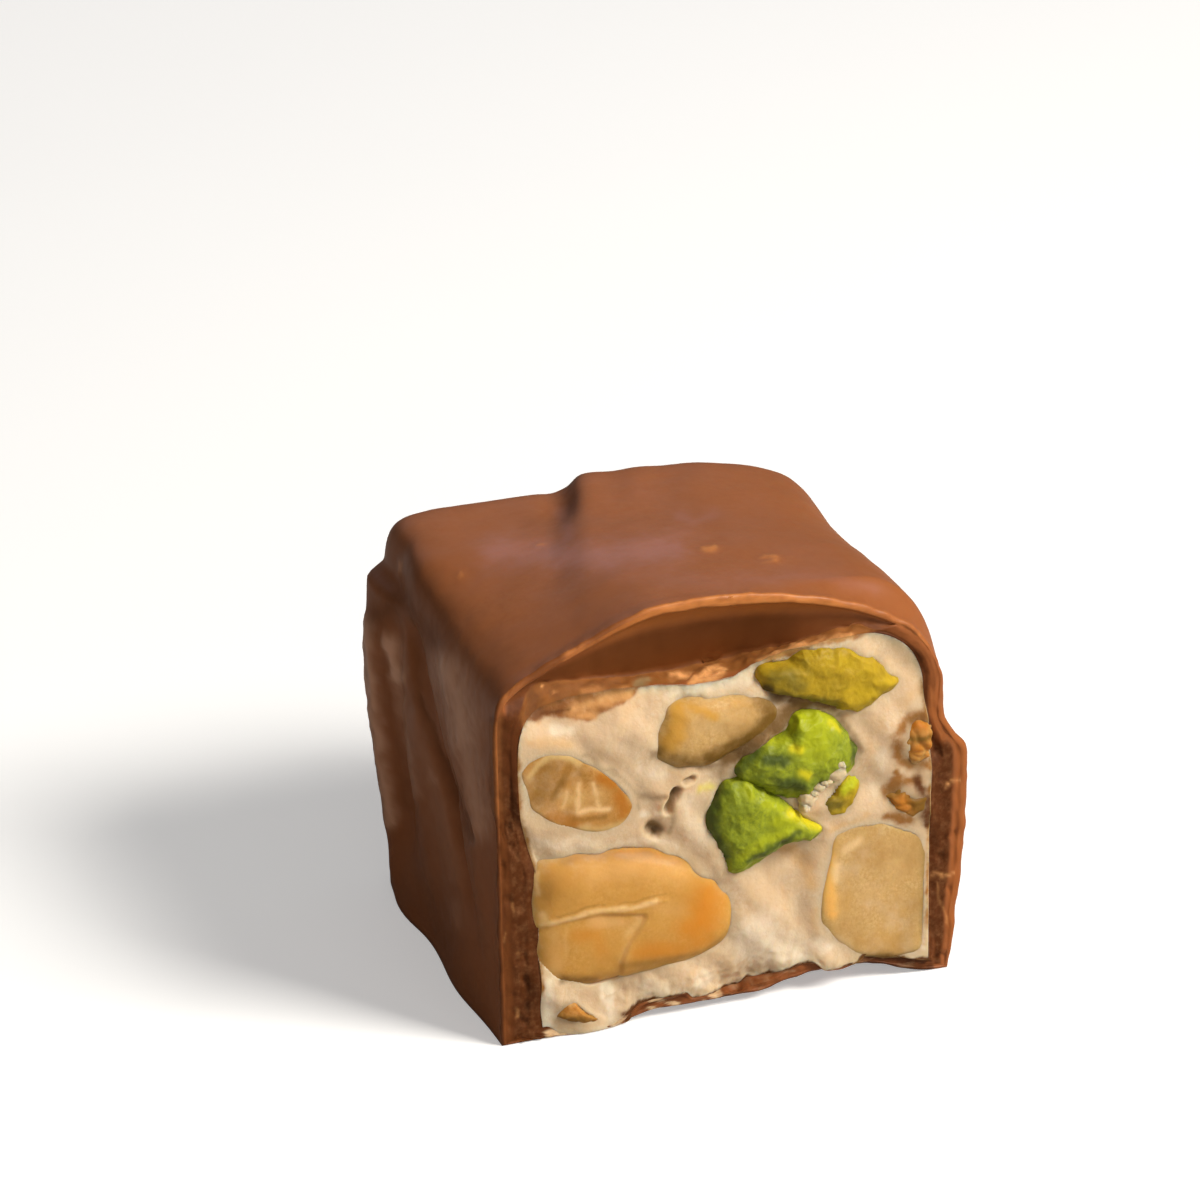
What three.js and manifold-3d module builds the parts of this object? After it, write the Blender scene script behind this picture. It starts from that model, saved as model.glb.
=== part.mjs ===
// Half of a chocolate-coated nougat bar, cut across, with nuts showing in the filling at the cut.
//
// Millimetres, +Z up. The half stands on Z = 0 with the origin at the middle of its base.
// The cut faces -Y and the rounded end of the bar faces +Y. X runs across the bar.
// "Seen at the cut" means looking along +Y, with +X to the right. The pieces are drawn with
// the bar's length centred on Y = 0, and the finished group is set back to take in the nuts
// that stand out of the cut.

import * as THREE from "three";
import { mergeVertices } from "three/addons/utils/BufferGeometryUtils.js";
import Module from "manifold-3d";

const { clamp, degToRad, lerp, smoothstep } = THREE.MathUtils;

// ---- Driving dimensions -------------------------------------------------------------------

const HALF_LENGTH = 13.5; // from the middle to the cut, and to the rounded end
const CUT_Y = -HALF_LENGTH;
const LEFT_WALL = 15.4; // plain half width of the coating, left and right of the middle
const RIGHT_WALL = 15.0;
const CROWN_HEIGHT = 29.0; // the highest line of the top, at the cut
const NUT_REACH = 1.4; // how far the pistachios stand out of the cut
const GAP = 0.2; // clearance between the filling and the coating
const POCKET_GAP = 0.28; // clearance round a nut in the filling

const COATING_FLOOR = 0.8; // coating thickness under the filling, and at the rounded end
const COATING_END = 2.1;
const LIP_THICKNESS = 0.8; // the thin rim left above the hollow break in the top coating
const BREAK_DEPTH = 2.8; // how far that break runs back into the coating
const BREAK_SPAN = [-13.4, 11.4]; // along X
const FOOT_BREAK_DEPTH = 3.4; // the edge of the foot, broken away at the cut
const FOOT_BREAK_SPAN = [-8.8, 14.3];

const CORNER_POWER = { left: 16, right: 7, end: 14 }; // higher is a sharper shoulder
const CORE_CORNER_POWER = 12;

// Cells along X, Y and Z of each block's surface.
const COATING_CELLS = [18, 14, 13];
const CORE_CELLS = [14, 4, 12];
const BREAK_CELLS = [14, 2, 1];
const NUT_DETAIL = 3;
const CRUMB_DETAIL = 2;
const POCKET_DETAIL = 3;

// ---- Forms of the coating -----------------------------------------------------------------

// A bump of height 1 at 0 that fades over about twice its width.
const bump = (distance, width) => Math.exp(-((distance / width) ** 2));

// 1 between low and high, fading to 0 outside over the given softness.
const band = (value, low, high, soft) =>
  smoothstep(value, low - soft, low) * (1 - smoothstep(value, high, high + soft));

const smoothMin = (a, b, soft) => {
  const share = clamp(0.5 + (b - a) / (2 * soft), 0, 1);
  return lerp(b, a, share) - soft * share * (1 - share);
};

// Height of the coating's top. At the cut it climbs from the left shoulder to a crest left of
// the middle. Behind the cut the right shoulder swells. Towards the rounded end the left part
// is a lower shelf, with a step up beside it.
function topHeight(x, y) {
  const leftSlope = 31.25 + 0.434 * x;
  const crest = CROWN_HEIGHT - 0.016 * (x + 2) ** 2;
  const atCut = smoothMin(leftSlope, crest, 0.6);
  const shoulder = 2.1 * bump(x - 13.5, 5.5) * smoothstep(y, CUT_Y, CUT_Y + 2.5);
  const stepX = -4.4 + 0.31 * (y - 4.5);
  const shelf = 27.0 + 0.9 * smoothstep(x, stepX - 1.6, stepX + 1.6);
  const atEnd = smoothMin(shelf, 28.0 - 0.014 * Math.max(x - 2.5, 0) ** 2, 0.3);
  const towardsEnd = smoothstep(y, CUT_Y, HALF_LENGTH - 4);
  return lerp(atCut + shoulder, atEnd, towardsEnd);
}

// Folds that run down the left side: where they lie along Y at a height, how wide, how proud.
// Towards the rounded end the shelf on top stands in from the side.
const LEFT_FOLDS = [
  { y: (z) => 8.6 + 0.02 * z, width: 1.5, low: 3, high: 18, proud: 0.55 },
  { y: (z) => 5.4 + 0.05 * z, width: 1.1, low: 7, high: 20, proud: -0.45 },
  { y: (z) => 1.2 + 0.1 * z, width: 1.9, low: 6, high: 17, proud: 0.35 },
  { y: (z) => -11.2 + 0.68 * z, width: 1.2, low: 8, high: 20, proud: -0.75 },
  { y: (z) => -14 + 0.45 * z, width: 2.2, low: 9, high: 22, proud: 0.35 },
];

function leftWall(y, z) {
  let wall = LEFT_WALL + 1.4 * bump(y - 11, 6) * bump(z - 17, 11);
  wall += 0.5 * (bump(y + 5, 4.5) + bump(y - 6.5, 3)) * bump(z, 4);
  wall -= 1.1 * smoothstep(z, 22.4, 24) * smoothstep(y, 3, 9);
  for (const fold of LEFT_FOLDS)
    wall += fold.proud * bump(y - fold.y(z), fold.width) * band(z, fold.low, fold.high, 4);
  return wall;
}

// The right side carries a sagging skirt that ends in a step at two thirds of its height and
// swells out under it near the cut.
function rightWall(y, z) {
  const stepZ = 16.2 + 0.8 * Math.sin(0.28 * y);
  const share = clamp(z / stepZ, 0, 1);
  const belly = 0.5 * Math.sin(Math.PI * share) * (1 - smoothstep(y, -8, 0));
  const skirt = (lerp(0.25, 1.6, share) + belly) * (1 - smoothstep(z, stepZ - 1.4, stepZ + 1.8));
  const folds = 0.3 * bump(y - 3 - 0.1 * z, 2.2) * band(z, 5, 19, 3);
  return RIGHT_WALL + skirt + folds;
}

// The cube -1..1 as the outside of the coating: sharp at the cut and the foot, rounded above
// and at the end.
function coatingPoint(a, b, c) {
  const sidePower = lerp(CORNER_POWER.left, CORNER_POWER.right, smoothstep(a, -0.6, 0.6));
  const power = lerp(sidePower, CORNER_POWER.end, smoothstep(b, 0.2, 1));
  const back = Math.max(b, 0) ** power;
  const up = Math.max(c, 0) ** power;
  const pull = (Math.abs(a) ** power + back + up) ** (-1 / power);
  const inward = Math.max(Math.abs(a), back, up) === 0 ? 1 : Math.min(pull, 1);
  const y = b * (b > 0 ? inward : 1) * HALF_LENGTH;
  const height = (c * (c > 0 ? inward : 1) + 1) / 2;
  const roughX = a * inward * LEFT_WALL;
  const z = height * topHeight(roughX, y);
  const x = a * inward * (a < 0 ? leftWall(y, z) : rightWall(y, z));
  return [x, y, z];
}

// ---- Forms of the filling -----------------------------------------------------------------

const coreLeft = (z) => 12.85 + 1.1 * smoothstep(z, 11, 17);
const coreRight = (z) => 13.8 - 1.2 * smoothstep(z, 20, 25);
const coreTop = (x) => 23.9 + 1.1 * smoothstep(x, 0, 6) - 0.9 * (1 - smoothstep(x, -14, -9));

// Relief of the filling's torn face at the cut, positive towards +Y.
function faceRelief(x, z) {
  const waves = 0.22 * Math.sin(0.8 * x + 0.5 * z) + 0.16 * Math.sin(0.9 * z - 0.55 * x + 1);
  const ragged = 0.12 * Math.sin(2.1 * x + 0.7) * Math.sin(1.8 * z);
  const topLedge = 1.5 * smoothstep(z, 20.5, 24.5) * (1 - smoothstep(x, -6, 9));
  const tornLump = -0.9 * bump(x - 7.4, 1.3) * bump(z - 2.6, 1.2);
  const footHollow = 0.5 * bump(x - 0.5, 4) * bump(z - 0.8, 1.6);
  return waves + ragged + topLedge + tornLump + footHollow;
}

// The cube -1..1 as the filling, kept clear of the coating by a margin, from a front to the end.
function corePoint(a, b, c, margin, front) {
  const power = CORE_CORNER_POWER;
  const back = Math.max(b, 0) ** power;
  const up = Math.max(c, 0) ** power;
  const pull = (Math.abs(a) ** power + back + up) ** (-1 / power);
  const inward = Math.min(pull, 1);
  const height = (c * (c > 0 ? inward : 1) + 1) / 2;
  const floor = COATING_FLOOR + margin;
  const z = lerp(floor, coreTop(a * coreRight(0)) - margin, height);
  const wall = a < 0 ? coreLeft(z) : coreRight(z);
  const x = a * inward * (wall - margin);
  const end = HALF_LENGTH - COATING_END - margin;
  const y = lerp(front(x, z), end, ((b > 0 ? b * inward : b) + 1) / 2);
  return [x, y, z];
}

// ---- Nuts ---------------------------------------------------------------------------------

// Each nut lies at a place in the cut and runs back into the filling. Its size is half its
// length, half its depth and half its height. A nut is a superellipsoid: a power over 2 is
// blunter, and the depth power flattens its face. "turn" is anticlockwise seen at the cut, in
// degrees. "depth" is how far its middle lies behind the cut, and "face" how far in front of
// the cut it is sliced flat. "slices" are the knife cuts that chopped it: the direction that
// each faces, in degrees anticlockwise from the nut's right end, and its distance from the
// nut's middle.
const NUTS = [
  {
    name: "almond_long", skin: "toastedNut", at: [-8.6, 8.0], depth: 3.0, size: [9.2, 3.9, 4.65],
    power: 2.1, depthPower: 4, turn: -7, lump: 0.02, detail: 4,
    slices: [{ facing: 187, at: 4.25 }],
  },
  {
    name: "almond_left", skin: "roastedNut", at: [-9.85, 17.0], depth: 2.6, size: [4.3, 3.4, 2.6],
    power: 2.2, depthPower: 4, turn: -31, face: 0.15, lump: 0.04, slices: [{ facing: 211, at: 3.75 }],
  },
  {
    name: "almond_upper", skin: "paleNut", at: [-0.9, 19.8], depth: 2.5, size: [4.1, 3.2, 2.1],
    power: 3, depthPower: 4, turn: 11, lump: 0.04, slices: [{ facing: 295, at: 2.1 }],
  },
  {
    name: "almond_right", skin: "paleNut", at: [9.8, 6.5], depth: 2.4, size: [3.65, 3.2, 4.8],
    power: 3.2, depthPower: 5, turn: 0, face: 0.35, lump: 0.03,
    slices: [{ facing: 0, at: 3.55 }, { facing: 222, at: 4.3 }],
  },
  {
    name: "pistachio_olive", skin: "olivePistachio", at: [7.2, 22.15], depth: 1.6,
    size: [4.85, 2.4, 2.15], power: 2.3, depthPower: 4, turn: -13, lump: 0.05,
    slices: [{ facing: 258, at: 1.9 }],
  },
  {
    name: "pistachio_upper", skin: "greenPistachio", at: [4.7, 17.1], depth: 1.3,
    size: [4.6, 2.7, 3.5], power: 2.4, depthPower: 3, turn: 0, lump: 0.04,
    slices: [
      { facing: 42, at: 3.15 }, { facing: 126, at: 2.65 }, { facing: 235, at: 2.7 },
      { facing: 297, at: 3.1 },
    ],
  },
  {
    name: "pistachio_lower", skin: "greenPistachio", at: [2.2, 13.0], depth: 1.3,
    size: [4.9, 2.7, 3.9], power: 2.1, depthPower: 3, turn: 0, lump: 0.03,
    slices: [{ facing: 55, at: 1.85 }, { facing: 172, at: 3.3 }, { facing: 287, at: 2.6 }],
  },
  {
    name: "pistachio_chip", skin: "olivePistachio", at: [7.75, 13.3], depth: 0.9,
    size: [1.6, 1.4, 0.95], power: 2.4, depthPower: 3, turn: 45, lump: 0.06, detail: CRUMB_DETAIL,
  },
  {
    name: "crumb_upper_right", skin: "roastedNut", at: [12.3, 16.7], depth: 1.1,
    size: [1.15, 1.6, 1.75], power: 2.4, depthPower: 3, turn: 0, lump: 0.06, detail: CRUMB_DETAIL,
  },
  {
    name: "crumb_lower_right", skin: "roastedNut", at: [12.0, 12.6], depth: 0.9,
    size: [1.45, 1.4, 0.95], power: 2.4, depthPower: 3, turn: -35, lump: 0.06, detail: CRUMB_DETAIL,
  },
  {
    name: "chip_bottom_left", skin: "roastedNut", at: [-10.2, 1.95], depth: 0.9,
    size: [1.6, 1.4, 0.7], power: 2.3, depthPower: 3, turn: -22, lump: 0.05, detail: CRUMB_DETAIL,
  },
];

// Air holes in the face of the filling: place in the cut and radius.
const AIR_HOLES = [
  { at: [-3.75, 15.3], radius: 0.75 },
  { at: [-5.0, 13.4], radius: 0.65 },
  { at: [-2.6, 16.7], radius: 0.45 },
];

// ---- Solids -------------------------------------------------------------------------------

const wasm = await Module();
wasm.setup();

function solidOf(geometry) {
  const bare = new THREE.BufferGeometry();
  bare.setAttribute("position", geometry.getAttribute("position"));
  if (geometry.index) bare.setIndex(geometry.index);
  const merged = mergeVertices(bare, 1e-4);
  return new wasm.Manifold(
    new wasm.Mesh({
      numProp: 3,
      vertProperties: merged.getAttribute("position").array,
      triVerts: new Uint32Array(merged.index.array),
    }),
  );
}

function geometryOf(solid) {
  const { vertProperties, triVerts } = solid.getMesh();
  const geometry = new THREE.BufferGeometry();
  geometry.setAttribute("position", new THREE.BufferAttribute(vertProperties, 3));
  geometry.setIndex(new THREE.BufferAttribute(triVerts, 1));
  geometry.computeVertexNormals();
  return geometry;
}

// Moves every vertex of a geometry by a mapping from its place to a new one.
function warp(geometry, map) {
  const position = geometry.getAttribute("position");
  const from = new THREE.Vector3();
  for (let i = 0; i < position.count; i++) {
    from.fromBufferAttribute(position, i);
    position.setXYZ(i, ...map(from.x, from.y, from.z));
  }
  return geometry;
}

const block = (cells, map) => solidOf(warp(new THREE.BoxGeometry(2, 2, 2, ...cells), map));

// ---- Coating ------------------------------------------------------------------------------

// A point of a wedge that is open at the cut and narrows behind it, at a share of its height.
// "along" runs from -1 in front of the cut, through 0 at the cut, to 1 at the wedge's end. Its
// low and high edges are given at the cut and at its end.
function wedgePoint(x, along, depth, atCut, atEnd, share) {
  const behind = Math.max(along, 0);
  const y = CUT_Y + (along < 0 ? along : behind * depth);
  const low = lerp(atCut.low, atEnd.low, behind);
  const high = lerp(atCut.high, atEnd.high, behind);
  return [x, y, lerp(low, high, share)];
}

// The hollow break in the thick top coating, under the thin lip and down to the filling.
function breakPoint(a, b, c) {
  const x = lerp(BREAK_SPAN[0], BREAK_SPAN[1], (a + 1) / 2);
  const open = Math.sin(Math.PI * clamp((a + 1.06) / 2.12, 0, 1)) ** 0.6;
  const low = coreTop(x) - 0.6;
  const rim = Math.max(topHeight(x, CUT_Y) - LIP_THICKNESS, low + 1);
  const atCut = { low, high: lerp(low + 1, rim, open) };
  return wedgePoint(x, b, BREAK_DEPTH * open + 0.3, atCut, { low, high: low + 0.7 }, (c + 1) / 2);
}

// The edge of the foot at the cut, broken away in one long arch, higher towards the right.
function footBreakPoint(a, b, c, margin) {
  const x = lerp(FOOT_BREAK_SPAN[0], FOOT_BREAK_SPAN[1], (a + 1) / 2);
  const rise = 0.7 * smoothstep(x, -8.6, -5) + 0.8 * smoothstep(x, 1.5, 6.2);
  const arch = rise - 1.5 * smoothstep(x, 8.5, 14.4);
  const atCut = { low: -1, high: arch + margin };
  return wedgePoint(x, b, FOOT_BREAK_DEPTH, atCut, { low: -1, high: margin - 0.4 }, (c + 1) / 2);
}

function coatingSolid() {
  const openFront = () => CUT_Y - 3;
  const hollow = block(CORE_CELLS, (a, b, c) => corePoint(a, b, c, 0, openFront));
  const footBreak = block(BREAK_CELLS, (a, b, c) => footBreakPoint(a, b, c, 0));
  const outside = block(COATING_CELLS, coatingPoint);
  return outside.subtract(hollow).subtract(block(BREAK_CELLS, breakPoint)).subtract(footBreak);
}

// ---- Nut solids ---------------------------------------------------------------------------

// A nut about its own middle, grown all round by a margin. Its own axes are the bar's, turned
// about Y by the nut's turn.
function nutSolid(nut, margin, detail = nut.detail ?? NUT_DETAIL) {
  const [length, depth, height] = nut.size.map((half) => half + margin);
  const { power, depthPower, lump } = nut;
  const ball = new THREE.IcosahedronGeometry(1, detail);
  const shaped = warp(ball, (x, y, z) => {
    const inPlane = (Math.abs(x) ** power + Math.abs(z) ** power) ** (depthPower / power);
    const reach = (inPlane + Math.abs(y) ** depthPower) ** (-1 / depthPower);
    const lumps = 1 + lump * Math.sin(5 * x + 2 * z + nut.at[0]) * Math.sin(4 * z - 3 * y + nut.at[1]);
    return [x * reach * length * lumps, y * reach * depth, z * reach * height * lumps];
  });
  let solid = solidOf(shaped);
  for (const { facing, at } of nut.slices ?? []) {
    const angle = degToRad(facing);
    solid = solid.trimByPlane([-Math.cos(angle), 0, -Math.sin(angle)], -(at + margin));
  }
  if (nut.face !== undefined && margin === 0)
    solid = solid.trimByPlane([0, 1, 0], -(nut.depth + nut.face));
  return solid;
}

function placeNut(mesh, nut) {
  mesh.position.set(nut.at[0], CUT_Y + nut.depth, nut.at[1]);
  mesh.rotation.y = -degToRad(nut.turn);
  mesh.updateMatrix();
  return mesh;
}

// ---- Filling ------------------------------------------------------------------------------

function nougatSolid() {
  const face = (x, z) => CUT_Y + faceRelief(x, z);
  let solid = block(CORE_CELLS, (a, b, c) => corePoint(a, b, c, GAP, face));
  solid = solid.subtract(block(BREAK_CELLS, (a, b, c) => footBreakPoint(a, b, c, GAP)));
  for (const nut of NUTS) {
    const pocket = geometryOf(nutSolid(nut, POCKET_GAP, POCKET_DETAIL));
    solid = solid.subtract(solidOf(pocket.applyMatrix4(placeNut(new THREE.Mesh(), nut).matrix)));
  }
  for (const { at: [x, z], radius } of AIR_HOLES) {
    const hole = new THREE.IcosahedronGeometry(radius, 1);
    hole.translate(x, CUT_Y + faceRelief(x, z), z);
    solid = solid.subtract(solidOf(hole));
  }
  return largestPiece(solid);
}

// Slicing can leave loose scraps, which are dropped.
function largestPiece(solid) {
  return solid.decompose().reduce((most, next) => (next.volume() > most.volume() ? next : most));
}

// ---- Materials and scene graph ------------------------------------------------------------

const matte = (color, roughness) => new THREE.MeshStandardMaterial({ color, roughness, metalness: 0 });

const MATERIALS = {
  milkChocolate: matte(0x7a4424, 0.42),
  nougat: matte(0xdcc3a0, 0.8),
  toastedNut: matte(0xd09a48, 0.5),
  roastedNut: matte(0xa8702c, 0.6),
  paleNut: matte(0xcaa766, 0.6),
  olivePistachio: matte(0xa8902a, 0.55),
  greenPistachio: matte(0x9cab1c, 0.5),
};

function named(name, solid, material) {
  const mesh = new THREE.Mesh(geometryOf(solid), material);
  mesh.name = name;
  return mesh;
}

function buildBar() {
  const bar = new THREE.Group();
  bar.position.y = NUT_REACH / 2; // the bar and what stands out of it, centred on the origin
  bar.add(named("chocolate_coating", coatingSolid(), MATERIALS.milkChocolate));
  const filling = new THREE.Group();
  filling.add(named("nougat", nougatSolid(), MATERIALS.nougat));
  for (const nut of NUTS)
    filling.add(placeNut(named(nut.name, nutSolid(nut, 0), MATERIALS[nut.skin]), nut));
  bar.add(filling);
  return bar;
}

export default buildBar();
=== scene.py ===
"""Half of a milk-chocolate-coated nougat bar, cut across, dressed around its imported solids.

Sizes are in millimetres. The half is drawn with its length centred on Y = 0 and its cut at Y = -13.5, facing
-Y. X runs across the bar and Z up from the surface it stands on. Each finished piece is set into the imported
frame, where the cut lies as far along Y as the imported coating's does.
"""

import logging
from dataclasses import dataclass, field
from enum import Enum
from itertools import product
from typing import Callable

import bmesh
import bpy
import numpy as np
from mathutils import Matrix, Vector


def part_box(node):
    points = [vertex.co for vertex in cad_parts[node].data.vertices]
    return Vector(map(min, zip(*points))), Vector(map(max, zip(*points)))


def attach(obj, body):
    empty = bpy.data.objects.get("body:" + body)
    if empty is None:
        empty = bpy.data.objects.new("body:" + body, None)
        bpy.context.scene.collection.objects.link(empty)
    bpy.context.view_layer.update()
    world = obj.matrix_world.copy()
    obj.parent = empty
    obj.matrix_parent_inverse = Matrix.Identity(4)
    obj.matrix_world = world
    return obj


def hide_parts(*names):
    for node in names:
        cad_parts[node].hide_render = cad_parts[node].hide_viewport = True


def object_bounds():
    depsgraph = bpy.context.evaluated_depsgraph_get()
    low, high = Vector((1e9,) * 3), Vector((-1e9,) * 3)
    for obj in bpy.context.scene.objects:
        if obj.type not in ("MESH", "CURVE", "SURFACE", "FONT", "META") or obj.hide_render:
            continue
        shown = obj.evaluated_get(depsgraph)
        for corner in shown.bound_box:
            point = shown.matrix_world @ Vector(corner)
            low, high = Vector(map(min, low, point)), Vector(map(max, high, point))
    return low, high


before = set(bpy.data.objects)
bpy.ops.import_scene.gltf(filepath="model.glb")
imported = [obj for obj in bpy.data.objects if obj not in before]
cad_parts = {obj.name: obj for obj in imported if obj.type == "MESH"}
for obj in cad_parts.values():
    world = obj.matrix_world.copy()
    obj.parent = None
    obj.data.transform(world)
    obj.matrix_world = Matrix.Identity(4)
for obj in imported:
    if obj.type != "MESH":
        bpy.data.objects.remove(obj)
CAD_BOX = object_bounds()

LOG = logging.getLogger("nougat_bar")
MM = 0.001
# A distance on the cube -1..1 that counts as none.
TINY = 0.0001
Array = np.ndarray
Line = tuple[tuple[float, float], ...]
Triple = tuple[float, float, float]
Marks = dict[str, Array]
Piece = bpy.types.Object
Socket = bpy.types.NodeSocket
Material = bpy.types.Material


# ---- Curves and noise ---------------------------------------------------------------------


def mix(start: Array, end: Array, share: Array) -> Array:
    """Goes from start to end as share goes from 0 to 1."""
    return start + (end - start) * share


def rise(value: Array, low: float, high: float) -> Array:
    """Climbs smoothly from 0 at low to 1 at high."""
    share = np.clip((value - low) / (high - low), 0.0, 1.0)
    return share * share * (3.0 - 2.0 * share)


def bump(distance: Array, width: float) -> Array:
    """A bump of height 1 at 0 that fades over about twice its width."""
    return np.exp(-((distance / width) ** 2))


def band(value: Array, low: float, high: float, soft: float) -> Array:
    """1 between low and high, fading to 0 outside over soft."""
    return rise(value, low - soft, low) * (1.0 - rise(value, high, high + soft))


def soft_min(first: Array, second: Array, soft: float) -> Array:
    """The lower of two heights, with their crossing rounded over soft."""
    share = np.clip(0.5 + (second - first) / (2.0 * soft), 0.0, 1.0)
    return mix(second, first, share) - soft * share * (1.0 - share)


def trace(x: Array, corners: Line, soft: float = 0.6) -> Array:
    """Height of a line through some corners, with the corners rounded over soft."""
    at, height = zip(*corners)
    steps = (-1.0, -0.5, 0.0, 0.5, 1.0)
    return sum(np.interp(x + step * soft, at, height) for step in steps) / len(steps)


def to_line(x: Array, z: Array, corners: Line) -> Array:
    """Distance in the cut from points to a line through some corners.

    Args:
        x: Places across the bar.
        z: Heights.
        corners: The line's corners, each across the bar and up; a single one is a spot.

    Returns:
        The shortest distance of each point.
    """
    nearest = np.full(np.shape(x), 1e9)
    for (x0, z0), (x1, z1) in zip(corners, corners[1:] or corners):
        run, climb = x1 - x0, z1 - z0
        share = np.clip(((x - x0) * run + (z - z0) * climb) / (run * run + climb * climb + 1e-9), 0.0, 1.0)
        nearest = np.minimum(nearest, np.hypot(x - x0 - share * run, z - z0 - share * climb))
    return nearest


class Grain:
    """Smooth noise over space, the same for the same seed."""

    def __init__(self, seed: int) -> None:
        """Draws the noise's lattice from a seed."""
        draw = np.random.default_rng(seed)
        self.order = draw.permutation(256)
        slopes = draw.normal(size=(256, 3))
        self.slopes = slopes / np.linalg.norm(slopes, axis=1, keepdims=True)

    def layer(self, points: Array) -> Array:
        """One layer of noise from about -1 to 1, with a cell of 1."""
        cell = np.floor(points).astype(int)
        inside = points - cell
        fade = inside**3 * (inside * (inside * 6.0 - 15.0) + 10.0)
        total = np.zeros(len(points))
        for corner in product((0, 1), repeat=3):
            at = cell + corner
            index = self.order[at[:, 0] & 255]
            index = self.order[(index + at[:, 1]) & 255]
            index = self.order[(index + at[:, 2]) & 255]
            share = np.prod(np.where(corner, fade, 1.0 - fade), axis=1)
            total += share * np.einsum("ij,ij->i", self.slopes[index], inside - corner)
        return 1.6 * total

    def at(self, points: Array, size: float | Triple, layers: int = 1) -> Array:
        """Noise at some points.

        Args:
            points: The points, in millimetres.
            size: Size of the largest lumps, all round or along each axis.
            layers: How many ever finer layers are added.

        Returns:
            A value from about -1 to 1 for each point.
        """
        total, height = np.zeros(len(points)), 1.0
        for index in range(layers):
            total += height * self.layer(points * (2.03**index) / np.asarray(size) + 17.3 * index)
            height *= 0.5
        return total


@dataclass(frozen=True)
class Stroke:
    """A soft stroke on the cut: the mark it adds to, its line, width, strength and how firm its edge is."""

    mark: str
    line: Line
    width: float
    strength: float = 1.0
    firm: float = 2.0

    def cover(self, x: Array, z: Array, wobble: Array) -> Array:
        """How much of the stroke lies on some places."""
        away = to_line(x, z, self.line) / self.width + wobble
        return self.strength * np.exp(-(np.maximum(away, 0.0) ** self.firm))


def pairs(*flat: float) -> Line:
    """The corners of a line from their places across and up, given in turn."""
    return tuple(zip(flat[::2], flat[1::2]))


def strokes_of(**marks: tuple[tuple[float, ...], ...]) -> tuple[Stroke, ...]:
    """Strokes of some marks, one a row: width, strength, for some how firm, then the line's corners."""
    rows = ((mark, row, 2 + len(row) % 2) for mark, rows in marks.items() for row in rows)
    return tuple(Stroke(mark, pairs(*row[start:]), *row[:start]) for mark, row, start in rows)


# How far a place slides across and up on the cut for each millimetre that it lies behind it.
SLANT = (0.33, 0.454)


def onto_cut(points: Array) -> tuple[Array, Array]:
    """Places across and up, drawn forward onto the cut on the slant that it is looked at from."""
    behind = points[:, 1] - BAR.cut
    return points[:, 0] - SLANT[0] * behind, points[:, 2] + SLANT[1] * behind


def paint(points: Array, drawn: tuple[Stroke, ...], grain: Grain, ragged: float = 0.25) -> Marks:
    """Marks made by strokes with uneven edges.

    Args:
        points: The places that are marked.
        drawn: The strokes.
        grain: Noise for the edges.
        ragged: How uneven the edges are.

    Returns:
        The strength of each mark at each place.
    """
    x, z = onto_cut(points)
    x = x + ragged * grain.at(points, 1.3, 2)
    z = z + ragged * grain.at(points + 31.7, 1.3, 2)
    wobble = ragged * grain.at(points, 0.6, 2)
    marks: Marks = {}
    for stroke in drawn:
        marks[stroke.mark] = np.maximum(marks.get(stroke.mark, 0.0), stroke.cover(x, z, wobble))
    return marks


# ---- The bar's forms ----------------------------------------------------------------------


@dataclass(frozen=True)
class Fold:
    """A fold down the left side: its place along Y at the floor, its lean, width, span and height."""

    along: float
    lean: float
    width: float
    low: float
    high: float
    proud: float

    def height(self, y: Array, z: Array) -> Array:
        """How far the fold stands out at some places."""
        across = bump(y - self.along - self.lean * z, self.width)
        return self.proud * across * band(z, self.low, self.high, 4.0)


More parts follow.
